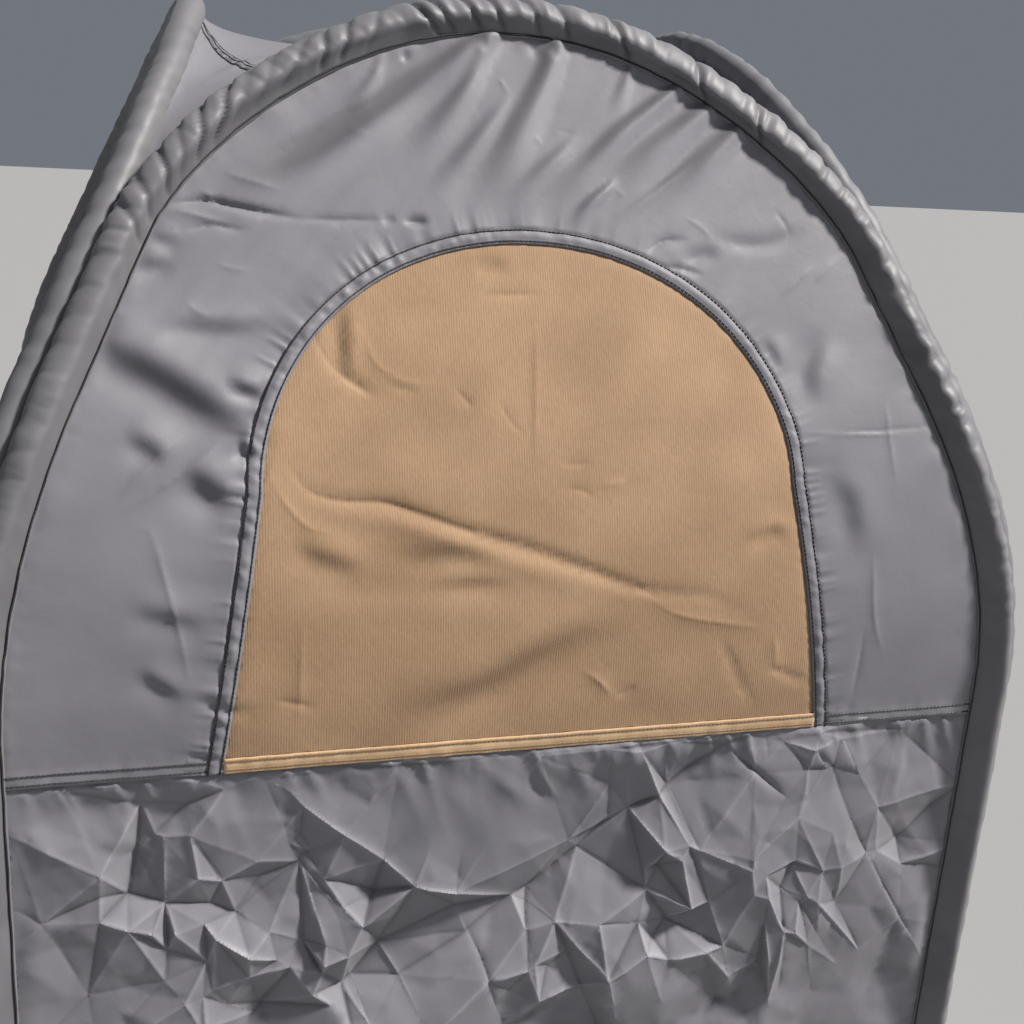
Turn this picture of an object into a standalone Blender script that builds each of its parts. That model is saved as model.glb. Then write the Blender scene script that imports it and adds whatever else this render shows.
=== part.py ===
"""Pop-up toilet tent: four sprung hoops in cloth sleeves, with windows, a zipped door and a roof."""
import math

import bmesh
import bpy
from mathutils import Matrix, Vector

# Driving dimensions in metres. The tent stands on z = 0, centred on the Z axis, window face towards -Y.
BASE_HALF = 0.600
WAIST_Z = 1.105
BEND_START_Z = 1.140
BEND_LENGTH = 0.350
LEAN = 0.470
SHOULDER_Z = 1.635
TOP_Z = 1.875
ARCH_POWER = 2 / 2.16

# Hoops and their sleeves
CORNER_INSET = 0.0256
HOOP_FLOOR_Z = 0.0226
HOOP_CORNER_RADIUS = 0.065
WIRE_RADIUS = 0.0025
WIRE_OFFSET = 0.0158
SLEEVE_WALL = 0.0012
SLEEVE_SECTION = ((-0.025, 0.0023), (-0.006, 0.0132), (0.0125, 0.0118), (0.0196, 0.0))

# Cloth
CLOTH = 0.002
EDGE_IN_SLEEVE = 0.019
EDGE_STRIP = 0.030
JOIN_GAP = 0.0003

# Window and the door's arched top, which share one outline
WINDOW_HALF_SILL = 0.340
WINDOW_HALF_SPRING = 0.296
WINDOW_SPRING_Z = 1.390
WINDOW_TOP_Z = 1.636
WINDOW_POWER = 2 / 2.10
BAND_WIDTH = 0.017
BAND_THICKNESS = 0.003
SILL_HEIGHT = 0.016

# Door
DOOR_FLOOR_Z = 0.110
ZIP_WIDTH = 0.022
ZIP_THICKNESS = 0.003
SLIDER_LENGTH = 0.016
SLIDER_WIDTH = 0.010
SLIDER_THICKNESS = 0.004
SLIDER_Z = 0.980
PULL_LENGTH = 0.028

# Roof
ROOF_SAG = 0.270
ROOF_EDGE_BACK = 0.0139
ROOF_EDGE_CORNER = 0.0118
ROOF_EDGE_TOP = 0.0040
ARCH_STEPS = 9
GUSSET_TIP_STEP = 1
GUSSET_SEAM_STEP = 7

# Ground patches
PATCH_INNER = 0.490
PATCH_OUTER = 0.632
PATCH_THICKNESS = 0.002
EYELET_RADIUS = 0.006
EYELET_AT = 0.616

FACES = {"front": 0, "right": 90, "back": 180, "left": 270}
FINISHES = {
    "grey_polyester": ((0.185, 0.180, 0.190), 0.48, 0.0),
    "tan_ribbed_cloth": ((0.420, 0.270, 0.145), 0.80, 0.0),
    "spring_steel": ((0.42, 0.42, 0.43), 0.35, 1.0),
    "black_webbing": ((0.035, 0.035, 0.038), 0.75, 0.0),
    "zip_metal": ((0.25, 0.25, 0.26), 0.40, 1.0),
}


def collection(name):
    new = bpy.data.collections.new(name)
    bpy.context.scene.collection.children.link(new)
    return new


def finish(obj, name):
    colour, roughness, metallic = FINISHES[name]
    material = bpy.data.materials.new(f"{obj.name}_{name}")
    material.use_nodes = True
    shader = material.node_tree.nodes["Principled BSDF"]
    shader.inputs["Base Color"].default_value = (*colour, 1.0)
    shader.inputs["Roughness"].default_value = roughness
    shader.inputs["Metallic"].default_value = metallic
    obj.data.materials.clear()
    obj.data.materials.append(material)


def half_width(z):
    """Half the tent's width at a height: upright below, curving over into a steady inward lean."""
    rise = max(z - BEND_START_Z, 0.0)
    if rise < BEND_LENGTH:
        return BASE_HALF - LEAN * rise * rise / (2 * BEND_LENGTH)
    return BASE_HALF - LEAN * (rise - BEND_LENGTH / 2)


def lean_at(z):
    return LEAN * min(max(z - BEND_START_Z, 0.0) / BEND_LENGTH, 1.0)


def on_face(u, z):
    return Vector((u, -half_width(z), z))


def face_normal(z):
    return Vector((0.0, -1.0, lean_at(z))).normalized()


def hoop_half():
    """One side of the front hoop, bottom centre to top centre, as (u, z)."""
    side = BASE_HALF - CORNER_INSET
    points = [(0.0, HOOP_FLOOR_Z)]
    for step in range(5):
        turn = math.radians(-90 + 22.5 * step)
        points.append((side - HOOP_CORNER_RADIUS + HOOP_CORNER_RADIUS * math.cos(turn),
                       HOOP_FLOOR_Z + HOOP_CORNER_RADIUS + HOOP_CORNER_RADIUS * math.sin(turn)))
    points.append((side, WAIST_Z))
    bend_top = BEND_START_Z + BEND_LENGTH
    heights = [BEND_START_Z + BEND_LENGTH * step / 8 for step in range(9)]
    heights += [(bend_top + SHOULDER_Z) / 2, SHOULDER_Z]
    points += [(half_width(z) - CORNER_INSET, z) for z in heights]
    for step in range(1, ARCH_STEPS + 1):
        angle = math.pi / 2 * step / ARCH_STEPS
        z = SHOULDER_Z + (TOP_Z - SHOULDER_Z) * math.sin(angle)
        width = half_width(z) - CORNER_INSET
        points.append((width * max(math.cos(angle), 0.0) ** ARCH_POWER if step < ARCH_STEPS else 0.0, z))
    return points


WAIST_INDEX = 6
SHOULDER_INDEX = 17
TOP_INDEX = SHOULDER_INDEX + ARCH_STEPS


def hoop_frames():
    """Right half of the front hoop as (point, outward in the face, outward from the face)."""
    half = [on_face(u, z) for u, z in hoop_half()]
    mirrored = [Vector((-half[1].x, half[1].y, half[1].z))]
    beyond = [Vector((-half[-2].x, half[-2].y, half[-2].z))]
    line = mirrored + half + beyond
    frames = []
    for index in range(1, len(line) - 1):
        before = (line[index] - line[index - 1]).normalized()
        after = (line[index + 1] - line[index]).normalized()
        normal = face_normal(line[index].z)
        outward = (before + after).normalized().cross(normal).normalized()
        if index == WAIST_INDEX + 1:
            outward = Vector((1.0, 0.0, 0.0))
        frames.append((line[index], outward, normal))
    return frames


FRAMES = hoop_frames()


def beside_hoop(index, out, proud):
    point, outward, normal = FRAMES[index]
    return point + out * outward + proud * normal


def mirror_u(point):
    return Vector((-point.x, point.y, point.z))


def all_round(half_line):
    """A closed line from its right half, bottom centre to top centre."""
    return half_line + [mirror_u(point) for point in half_line[-2:0:-1]]


def turned(point, degrees):
    return Matrix.Rotation(math.radians(degrees), 4, "Z") @ point


def add_mesh(bm, name, home, finish_name):
    mesh = bpy.data.meshes.new(name)
    bm.to_mesh(mesh)
    bm.free()
    obj = bpy.data.objects.new(name, mesh)
    home.objects.link(obj)
    finish(obj, finish_name)
    return obj


def thicken(obj, thickness):
    solidify = obj.modifiers.new("thickness", "SOLIDIFY")
    solidify.thickness = thickness
    solidify.offset = 0.0
    solidify.use_even_offset = True
    obj.data.shade_smooth()
    obj.data.set_sharp_from_angle(angle=math.radians(40))
    return obj


def cloth_sheet(name, lines, home, finish_name, face=0, thickness=CLOTH, loop=False):
    """A sheet through lines of equal count, laid as a grid and bent to them, then given its thickness."""
    rows = len(lines[0])
    columns = len(lines)
    bm = bmesh.new()
    bmesh.ops.create_grid(bm, x_segments=rows - (0 if loop else 1), y_segments=columns - 1, size=0.5)
    for vertex in bm.verts:
        row = round((vertex.co.x + 0.5) * (rows - (0 if loop else 1)))
        column = round((vertex.co.y + 0.5) * (columns - 1))
        vertex.co = turned(lines[column][row % rows], face)
    bmesh.ops.remove_doubles(bm, verts=bm.verts, dist=0.00001)
    bmesh.ops.recalc_face_normals(bm, faces=bm.faces)
    return thicken(add_mesh(bm, name, home, finish_name), thickness)


def between(line_a, line_b, share):
    return [a.lerp(b, share) for a, b in zip(line_a, line_b)]


def reseat(points):
    """Put points back on the face at their own (u, z)."""
    return [on_face(point.x, point.z) for point in points]


def window_half(first_z, grow=0.0):
    """Right half of the window outline from first_z to the top, moved out by grow."""
    points = []
    for step in range(11):
        z = first_z + (WINDOW_SPRING_Z - first_z) * step / 10
        share = (z - WAIST_Z) / (WINDOW_SPRING_Z - WAIST_Z)
        half = WINDOW_HALF_SILL + (WINDOW_HALF_SPRING - WINDOW_HALF_SILL) * share
        points.append((half + grow, z))
    for step in range(1, 11):
        angle = math.pi / 2 * step / 10
        half = WINDOW_HALF_SPRING * max(math.cos(angle), 0.0) ** WINDOW_POWER if step < 10 else 0.0
        rise = WINDOW_TOP_Z - WINDOW_SPRING_Z
        points.append((half * (1 + grow / WINDOW_HALF_SPRING),
                       WINDOW_SPRING_Z + rise * math.sin(angle) * (1 + grow / rise)))
    return [on_face(u, z) for u, z in points]


def across(half_line, columns):
    """Lines that fill the width from the left half of an outline to its right half."""
    left = [mirror_u(point) for point in half_line]
    return [between(left, half_line, step / columns) for step in range(columns + 1)]


def over_top(half_line):
    return half_line + [mirror_u(point) for point in half_line[-2::-1]]


def make_hoop(side, degrees, home):
    curve = bpy.data.curves.new(f"hoop_{side}", "CURVE")
    curve.dimensions = "3D"
    curve.bevel_depth = WIRE_RADIUS
    curve.bevel_resolution = 1
    spline = curve.splines.new("POLY")
    line = all_round([beside_hoop(index, WIRE_OFFSET, 0.0) for index in range(TOP_INDEX + 1)])
    spline.points.add(len(line) - 1)
    for slot, point in zip(spline.points, line):
        slot.co = (*turned(point, degrees), 1.0)
    spline.use_cyclic_u = True
    obj = bpy.data.objects.new(f"hoop_{side}", curve)
    home.objects.link(obj)
    finish(obj, "spring_steel")


def make_sleeve(side, degrees, home):
    section = list(SLEEVE_SECTION) + [(out, -proud) for out, proud in SLEEVE_SECTION[-2::-1]]
    lines = []
    for out, proud in section:
        lines.append(all_round([beside_hoop(index, out, proud) for index in range(TOP_INDEX + 1)]))
    cloth_sheet(f"hoop_sleeve_{side}", lines, home, "grey_polyester", degrees, SLEEVE_WALL, loop=True)


def panel_edge(first, last, inset):
    return [beside_hoop(index, -inset, 0.0) for index in range(first, last + 1)]


def lift_first(line, amount):
    line[0] = Vector((line[0].x, line[0].y, line[0].z + amount))
    return line


def make_upper_panel(side, degrees, home, opening_grow):
    edge = lift_first(reseat(panel_edge(WAIST_INDEX, TOP_INDEX, EDGE_IN_SLEEVE)), JOIN_GAP / 2)
    strip = lift_first(reseat(panel_edge(WAIST_INDEX, TOP_INDEX, EDGE_STRIP)), JOIN_GAP / 2)
    name = f"upper_panel_{side}"
    if opening_grow is None:
        fill = [reseat(line) for line in across(strip, 6)]
        lines = [[mirror_u(point) for point in edge], *fill, edge]
        cloth_sheet(name, lines, home, "grey_polyester", degrees)
        return
    inner = window_half(WAIST_Z + JOIN_GAP / 2, opening_grow)
    middle = reseat(between(inner, strip, 0.5))
    lines = [over_top(line) for line in (inner, middle, strip, edge)]
    cloth_sheet(name, lines, home, "grey_polyester", degrees)


def make_lower_wall(side, degrees, home):
    right = panel_edge(1, WAIST_INDEX, EDGE_IN_SLEEVE)
    right[-1].z = WAIST_Z - JOIN_GAP / 2
    cloth_sheet(f"lower_wall_{side}", across(right, 1), home, "grey_polyester", degrees)


def make_window(side, degrees, home):
    cloth_first = WAIST_Z + SILL_HEIGHT + JOIN_GAP / 2
    cloth_lines = [reseat(line) for line in across(window_half(cloth_first), 6)]
    cloth_sheet(f"window_cloth_{side}", cloth_lines, home, "tan_ribbed_cloth", degrees)
    first = WAIST_Z + JOIN_GAP / 2
    band = [over_top(window_half(first, JOIN_GAP)), over_top(window_half(first, BAND_WIDTH))]
    cloth_sheet(f"window_band_{side}", band, home, "grey_polyester", degrees, BAND_THICKNESS)
    sill = window_half(first)[:1] + window_half(cloth_first - JOIN_GAP)[:1]
    cloth_sheet(f"window_sill_{side}", across(sill, 1), home, "tan_ribbed_cloth", degrees)


def door_half(grow, first_z):
    upper = window_half(WAIST_Z, grow)
    return [on_face(WINDOW_HALF_SILL + grow, first_z)] + upper


def make_door(degrees, home):
    """Zipped door in one face, with the walls beside it and the strip under it."""
    flap = [reseat(line) for line in across(door_half(0.0, DOOR_FLOOR_Z + JOIN_GAP), 6)]
    cloth_sheet("door_flap", flap, home, "grey_polyester", degrees)
    tape = [over_top(door_half(JOIN_GAP, DOOR_FLOOR_Z + JOIN_GAP)),
            over_top(door_half(ZIP_WIDTH, DOOR_FLOOR_Z + JOIN_GAP))]
    cloth_sheet("door_zip", tape, home, "black_webbing", degrees, ZIP_THICKNESS)
    right = panel_edge(1, WAIST_INDEX, EDGE_IN_SLEEVE)
    threshold_line = WINDOW_HALF_SILL + ZIP_WIDTH
    post = [on_face(threshold_line + JOIN_GAP, point.z) for point in right]
    post[-1].z = WAIST_Z - JOIN_GAP / 2
    right[-1].z = WAIST_Z - JOIN_GAP / 2
    cloth_sheet("lower_wall_right_far", [post, right], home, "grey_polyester", degrees)
    mirrored = [[mirror_u(point) for point in right], [mirror_u(point) for point in post]]
    cloth_sheet("lower_wall_right_near", mirrored, home, "grey_polyester", degrees)
    low = right[0].z
    strip = [on_face(threshold_line, low), on_face(threshold_line, DOOR_FLOOR_Z)]
    cloth_sheet("door_threshold", across(strip, 1), home, "grey_polyester", degrees)
    for name, shift in (("door_zip_slider_outer", 0.0), ("door_zip_slider_spare", 0.045)):
        make_slider(name, degrees, SLIDER_Z - shift, home)


def make_slider(name, degrees, z, home):
    """A zip slider with its pull hanging below it, as one solid on the outside of the zip."""
    across_zip = WINDOW_HALF_SILL + ZIP_WIDTH / 2
    stand = ZIP_THICKNESS / 2 + JOIN_GAP + SLIDER_THICKNESS / 2
    bm = bmesh.new()
    bmesh.ops.create_cube(bm, size=1.0)
    bmesh.ops.scale(bm, vec=(SLIDER_WIDTH, SLIDER_THICKNESS, SLIDER_LENGTH), verts=bm.verts)
    bottom = [face for face in bm.faces if face.normal.z < -0.5]
    bmesh.ops.inset_region(bm, faces=bottom, thickness=0.001)
    pulled = bmesh.ops.extrude_face_region(bm, geom=bottom)
    tips = [item for item in pulled["geom"] if isinstance(item, bmesh.types.BMVert)]
    bmesh.ops.delete(bm, geom=bottom, context="FACES_ONLY")
    bmesh.ops.translate(bm, vec=(0.0, 0.0, -PULL_LENGTH), verts=tips)
    bmesh.ops.recalc_face_normals(bm, faces=bm.faces)
    place = Matrix.Translation((across_zip, -BASE_HALF - stand, z))
    bmesh.ops.transform(bm, matrix=Matrix.Rotation(math.radians(degrees), 4, "Z") @ place, verts=bm.verts)
    add_mesh(bm, name, home, "zip_metal")


def roof_edge():
    """Where the roof cloth meets the front sleeve, left shoulder to right shoulder."""
    right = []
    for index in range(SHOULDER_INDEX, TOP_INDEX + 1):
        share = min((index - SHOULDER_INDEX) / 4, 1.0)
        out = ROOF_EDGE_CORNER + (ROOF_EDGE_TOP - ROOF_EDGE_CORNER) * share
        right.append(beside_hoop(index, out, -ROOF_EDGE_BACK))
    return [mirror_u(point) for point in right] + right[-2::-1]


ROOF_EDGE = roof_edge()


def along_edge(share):
    place = min(max((share + 1) * ARCH_STEPS, 0.0), 2 * ARCH_STEPS)
    index = min(int(place), 2 * ARCH_STEPS - 1)
    return ROOF_EDGE[index].lerp(ROOF_EDGE[index + 1], place - index)


def roof_point(s, t):
    """A patch spanned by the four hoop arches, let down in the middle by the cloth's sag."""
    front = along_edge(s)
    back = turned(along_edge(-s), 180)
    right = turned(along_edge(t), 90)
    left = turned(along_edge(-t), 270)
    point = (front * (1 - t) + back * (1 + t) + left * (1 - s) + right * (1 + s)) / 2
    corner_half = (abs(ROOF_EDGE[0].x) + abs(ROOF_EDGE[0].y)) / 2
    corners = Vector((corner_half * s, corner_half * t, ROOF_EDGE[0].z))
    point -= corners
    point.z -= ROOF_SAG * (1 - s * s) * (1 - t * t)
    return point


def cut_corner(bm, way, reach, keep_inside):
    """Trim the flat roof pattern across one corner, before it is bent to shape."""
    normal = Vector((way[0], way[1], 0.0)).normalized()
    origin = Vector((way[0] * reach / 2, way[1] * reach / 2, 0.0))
    bmesh.ops.bisect_plane(bm, geom=bm.verts[:] + bm.edges[:] + bm.faces[:], dist=0.00001,
                           plane_co=origin, plane_no=normal,
                           clear_outer=keep_inside, clear_inner=not keep_inside)


def roof_piece(name, cuts, home):
    bm = bmesh.new()
    bmesh.ops.create_grid(bm, x_segments=2 * ARCH_STEPS, y_segments=2 * ARCH_STEPS, size=1.0)
    for way, reach, keep_inside in cuts:
        cut_corner(bm, way, reach, keep_inside)
    for vertex in bm.verts:
        vertex.co = roof_point(vertex.co.x, vertex.co.y)
    bmesh.ops.recalc_face_normals(bm, faces=bm.faces)
    return thicken(add_mesh(bm, name, home, "grey_polyester"), CLOTH)


def make_roof(home):
    corners = {"front_left": (-1, -1), "front_right": (1, -1), "back_right": (1, 1), "back_left": (-1, 1)}
    seam = 2 - GUSSET_SEAM_STEP / ARCH_STEPS
    tip = 2 - GUSSET_TIP_STEP / ARCH_STEPS
    gap = 0.0009
    roof_piece("roof_top", [(way, seam - gap, True) for way in corners.values()], home)
    for name, way in corners.items():
        roof_piece(f"roof_gusset_{name}", [(way, seam + gap, False), (way, tip, True)], home)


def make_patches(home, cutters):
    """Webbing squares under the four corners, each with a peg eyelet at its outer corner."""
    middle = (PATCH_INNER + PATCH_OUTER) / 2
    size = PATCH_OUTER - PATCH_INNER
    for name, x, y in (("front_left", -1, -1), ("front_right", 1, -1), ("back_right", 1, 1), ("back_left", -1, 1)):
        bm = bmesh.new()
        bmesh.ops.create_cube(bm, size=1.0)
        bmesh.ops.scale(bm, vec=(size, size, PATCH_THICKNESS), verts=bm.verts)
        bmesh.ops.translate(bm, vec=(x * middle, y * middle, PATCH_THICKNESS / 2), verts=bm.verts)
        patch = add_mesh(bm, f"corner_patch_{name}", home, "black_webbing")
        hole = bmesh.new()
        bmesh.ops.create_cone(hole, cap_ends=True, segments=12, radius1=EYELET_RADIUS,
                              radius2=EYELET_RADIUS, depth=PATCH_THICKNESS * 4)
        bmesh.ops.translate(hole, vec=(x * EYELET_AT, y * EYELET_AT, PATCH_THICKNESS / 2), verts=hole.verts)
        cutter = add_mesh(hole, f"eyelet_cutter_{name}", cutters, "black_webbing")
        cutter.hide_render = True
        cutter.display_type = "WIRE"
        cut = patch.modifiers.new("eyelet", "BOOLEAN")
        cut.object = cutter
        cut.solver = "EXACT"


def build():
    for obj in list(bpy.data.objects):
        bpy.data.objects.remove(obj, do_unlink=True)
    tent = collection("pop_up_toilet_tent")
    cutters = collection("cutters")
    for side, degrees in FACES.items():
        make_hoop(side, degrees, tent)
        make_sleeve(side, degrees, tent)
    for side in ("front", "back"):
        make_upper_panel(side, FACES[side], tent, BAND_WIDTH + JOIN_GAP)
        make_lower_wall(side, FACES[side], tent)
        make_window(side, FACES[side], tent)
    make_upper_panel("left", FACES["left"], tent, None)
    make_lower_wall("left", FACES["left"], tent)
    make_upper_panel("right", FACES["right"], tent, ZIP_WIDTH + JOIN_GAP)
    make_door(FACES["right"], tent)
    make_roof(tent)
    make_patches(tent, cutters)


build()
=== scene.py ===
"""Pop-up toilet tent: the cloth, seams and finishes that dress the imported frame."""
import math

import bmesh
import bpy
import numpy as np
from mathutils import Matrix, Vector
from mathutils.geometry import delaunay_2d_cdt
from mathutils.kdtree import KDTree


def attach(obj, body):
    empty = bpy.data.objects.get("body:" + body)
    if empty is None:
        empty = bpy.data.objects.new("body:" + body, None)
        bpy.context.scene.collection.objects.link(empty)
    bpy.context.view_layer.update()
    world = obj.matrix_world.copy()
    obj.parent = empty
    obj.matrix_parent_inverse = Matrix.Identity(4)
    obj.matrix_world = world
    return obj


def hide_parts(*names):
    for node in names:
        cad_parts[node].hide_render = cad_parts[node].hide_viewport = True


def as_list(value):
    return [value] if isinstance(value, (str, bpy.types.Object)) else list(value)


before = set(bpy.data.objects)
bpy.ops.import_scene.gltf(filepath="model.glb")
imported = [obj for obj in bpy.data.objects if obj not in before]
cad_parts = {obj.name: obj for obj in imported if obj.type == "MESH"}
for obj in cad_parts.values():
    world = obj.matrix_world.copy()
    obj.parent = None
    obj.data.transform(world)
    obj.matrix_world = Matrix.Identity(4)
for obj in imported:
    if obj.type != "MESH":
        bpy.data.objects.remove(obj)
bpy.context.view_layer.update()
SCENE = bpy.context.scene.collection

# Driving dimensions of the tent, in metres, as the frame has them
BASE_HALF = 0.600
WAIST_Z = 1.105
BEND_START_Z = 1.140
BEND_LENGTH = 0.350
LEAN = 0.470
SHOULDER_Z = 1.635
TOP_Z = 1.875
ARCH_POWER = 2 / 2.16
CORNER_INSET = 0.0256
HOOP_FLOOR_Z = 0.0226
HOOP_CORNER_RADIUS = 0.065
EDGE_IN_SLEEVE = 0.019
JOIN_GAP = 0.0003
WINDOW_HALF_SILL = 0.340
WINDOW_HALF_SPRING = 0.296
WINDOW_SPRING_Z = 1.390
WINDOW_TOP_Z = 1.636
WINDOW_POWER = 2 / 2.10
BAND_WIDTH = 0.017
SILL_HEIGHT = 0.016
DOOR_FLOOR_Z = 0.110
ZIP_WIDTH = 0.022
ROOF_SAG = 0.270
ROOF_EDGE_BACK = 0.0139
ROOF_EDGE_CORNER = 0.0118
ROOF_EDGE_TOP = 0.0040
ROOF_EDGE_STEPS = 9
GUSSET_TIP = 2 - 1 / ROOF_EDGE_STEPS
GUSSET_SEAM = 2 - 7 / ROOF_EDGE_STEPS
PATCH_INNER = 0.490
PATCH_OUTER = 0.632
EYELET_RADIUS = 0.006
EYELET_AT = 0.616

# Cloth and sewing, in metres
CLOTH = 0.0012
WEBBING = 0.0017
ROW_INNER = 0.0034
ROW_OUTER = 0.0158
HEM_ROWS = (0.0030, 0.0128)
SLEEVE_ROW = -0.0222
STITCH_PITCH = 0.0050
STITCH_LENGTH = 0.0040
STITCH_THICK = 0.0011
SEAM_THREAD = 0.0013
SILL_THREAD = 0.0016
WINDOW_THREAD = 0.0019
SLEEVE_THREAD = 0.0024

FACES = {"front": 0, "right": 90, "back": 180, "left": 270}    # degrees from the front
CORNERS = {"front_left": (-1, -1), "front_right": (1, -1), "back_right": (1, 1), "back_left": (-1, 1)}

# Camera: place in metres, aim in degrees and focal length in pixels of the 1024 pixel photograph
PHOTO_SIZE = 1024
CAMERA_AT = np.array((-0.4299, -1.8371, 1.7713))
CAMERA_YAW = math.degrees(0.3002)
CAMERA_PITCH = math.degrees(-0.2944)
CAMERA_ROLL = math.degrees(0.063)
FOCAL_PIXELS = 1310.0
SENSOR = 36.0      # mm
AIM_ROUNDS = 12    # rounds in which a ray's meeting with the bent face settles

# Where the main light comes from, and how that lies in the front cloth (across, up)
LIGHT_FROM = Vector((0.62, -0.24, 0.75)).normalized()
SOFT_FROM = Vector((0.51, -0.77, 0.38)).normalized()
LIT_SIDE = np.array((0.62, 0.78))


def aim():
    """The camera's right, up and forward directions."""
    yaw, pitch, roll = (math.radians(a) for a in (CAMERA_YAW, CAMERA_PITCH, CAMERA_ROLL))
    forward = np.array((math.sin(yaw) * math.cos(pitch), math.cos(yaw) * math.cos(pitch), math.sin(pitch)))
    level = np.array((math.cos(yaw), -math.sin(yaw), 0.0))
    above = np.cross(level, forward)
    right = math.cos(roll) * level + math.sin(roll) * above
    up = -math.sin(roll) * level + math.cos(roll) * above
    return right, up, forward


# Shape of the faces. A point of a face's cloth is (u, s): across, and along the cloth from the ground.

def half_width(z):
    rise = np.maximum(z - BEND_START_Z, 0.0)
    curved = BASE_HALF - LEAN * rise * rise / (2 * BEND_LENGTH)
    return np.where(rise < BEND_LENGTH, curved, BASE_HALF - LEAN * (rise - BEND_LENGTH / 2))


def lean_at(z):
    return LEAN * np.clip((z - BEND_START_Z) / BEND_LENGTH, 0.0, 1.0)


HEIGHTS = np.linspace(-0.1, 2.0, 2101)
CLOTH_RUN = np.concatenate([[0.0], np.cumsum(np.hypot(np.diff(HEIGHTS), np.diff(half_width(HEIGHTS))))]) - 0.1


def run_at(z):
    return np.interp(z, HEIGHTS, CLOTH_RUN)


def height_at(s):
    return np.interp(s, CLOTH_RUN, HEIGHTS)


WAIST_S = float(run_at(WAIST_Z))


def turn(points, degrees):
    angle = math.radians(degrees)
    c, s = round(math.cos(angle), 9), round(math.sin(angle), 9)
    x, y = points[:, 0], points[:, 1]
    return np.stack([c * x - s * y, s * x + c * y, points[:, 2]], 1)


def face_place(degrees):
    """A function that puts (u, s) points of a face in space, standing proud of it by an amount."""
    def place(points, proud):
        z = height_at(points[:, 1])
        lean = lean_at(z)
        unit = 1 / np.sqrt(1 + lean * lean)
        y = -half_width(z) - proud * unit
        return turn(np.stack([points[:, 0], y, z + proud * lean * unit], 1), degrees)
    return place


def from_photo(pixels):
    """Where points of the photograph, as x, y, x, y in pixels, lie on the front face: (u, s) in metres."""
    right, up, forward = aim()
    pixels = np.array(pixels, float).reshape(-1, 2)
    across = (pixels[:, 0] - PHOTO_SIZE / 2) / FOCAL_PIXELS
    down = (pixels[:, 1] - PHOTO_SIZE / 2) / FOCAL_PIXELS
    ray = forward[None, :] + across[:, None] * right[None, :] - down[:, None] * up[None, :]
    reach = (-BASE_HALF - CAMERA_AT[1]) / ray[:, 1]
    for _ in range(AIM_ROUNDS):
        z = CAMERA_AT[2] + reach * ray[:, 2]
        reach = (-half_width(z) - CAMERA_AT[1]) / ray[:, 1]
    z = CAMERA_AT[2] + reach * ray[:, 2]
    return np.stack([CAMERA_AT[0] + reach * ray[:, 0], run_at(z)], 1)


# Lines

def line_length(line):
    return float(np.linalg.norm(np.diff(line, axis=0), axis=1).sum())


def runs(line):
    """How far along a line each of its points is."""
    return np.concatenate([[0.0], np.cumsum(np.linalg.norm(np.diff(line, axis=0), axis=1))])


def spaced(line, step, closed=False):
    """Points at even steps along a line."""
    if closed:
        line = np.vstack([line, line[:1]])
    along = runs(line)
    count = max(int(round(along[-1] / step)), 2)
    places = np.linspace(0.0, along[-1], count + 1)
    if closed:
        places = places[:-1]
    return np.stack([np.interp(places, along, line[:, axis]) for axis in range(line.shape[1])], 1)


def rounded(line, step=0.004):
    """A smooth curve through given points."""
    if len(line) < 3:
        return spaced(line, step)
    padded = np.vstack([2 * line[0] - line[1], line, 2 * line[-1] - line[-2]])
    share = np.linspace(0.0, 1.0, 8, endpoint=False)[:, None]
    parts = []
    for a, b, c, d in zip(padded[:-3], padded[1:-2], padded[2:-1], padded[3:]):
        parts.append(0.5 * (2 * b + (c - a) * share + (2 * a - 5 * b + 4 * c - d) * share ** 2
                            + (3 * b - a - 3 * c + d) * share ** 3))
    return spaced(np.vstack(parts + [line[-1:]]), step)


def boxed(points, low, high):
    """The numbers of the points that lie in a box."""
    return np.flatnonzero(np.all((points > low) & (points < high), axis=1))


def near_line(points, line, lit=LIT_SIDE):
    """Distance to a line, place along it, and which side: +1 towards the light."""
    best = np.full(len(points), 1e9)
    along = np.zeros(len(points))
    side = np.zeros(len(points))
    before = 0.0
    chord = line[-1] - line[0]
    left = 1.0 if -chord[1] * lit[0] + chord[0] * lit[1] >= 0 else -1.0
    for start, end in zip(line[:-1], line[1:]):
        step = end - start
        length = float(np.hypot(*step))
        if length < 1e-9:
            continue
        across = left * np.array((-step[1], step[0])) / length
        offset = points - start
        share = np.clip(offset @ step / (length * length), 0.0, 1.0)
        gap = offset - share[:, None] * step
        distance = np.hypot(gap[:, 0], gap[:, 1])
        closer = distance < best
        best[closer] = distance[closer]
        along[closer] = before + share[closer] * length
        side[closer] = np.sign(gap[closer] @ across)
        before += length
    return best, along, side


def finder(points):
    """A function that finds which of the points is nearest to a place, and how near."""
    tree = KDTree(len(points))
    for index, point in enumerate(points):
        tree.insert((point[0], point[1], 0.0), index)
    tree.balance()
    return tree.find


def near_outline(points, line):
    """Distance to a long line of closely spaced points, and the place along it."""
    find = finder(line)
    nearest = np.array([find((x, y, 0.0))[1] for x, y in points])
    run = runs(line)
    best, along = np.full(len(points), 1e9), np.zeros(len(points))
    for shift in (-1, 0):
        first = np.clip(nearest + shift, 0, len(line) - 2)
        start, step = line[first], line[first + 1] - line[first]
        length = np.maximum((step * step).sum(1), 1e-12)
        share = np.clip(((points - start) * step).sum(1) / length, 0.0, 1.0)
        gap = np.linalg.norm(points - start - share[:, None] * step, axis=1)
        closer = gap < best
        best[closer] = gap[closer]
        along[closer] = (run[first] + share * np.sqrt(length))[closer]
    return best, along


def near_edge(line, reach):
    """A test for points closer to an outline than a reach."""
    return lambda points: near_outline(points, line)[0] < reach


def unit(vectors):
    return vectors / np.linalg.norm(vectors, axis=1)[:, None]


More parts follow.
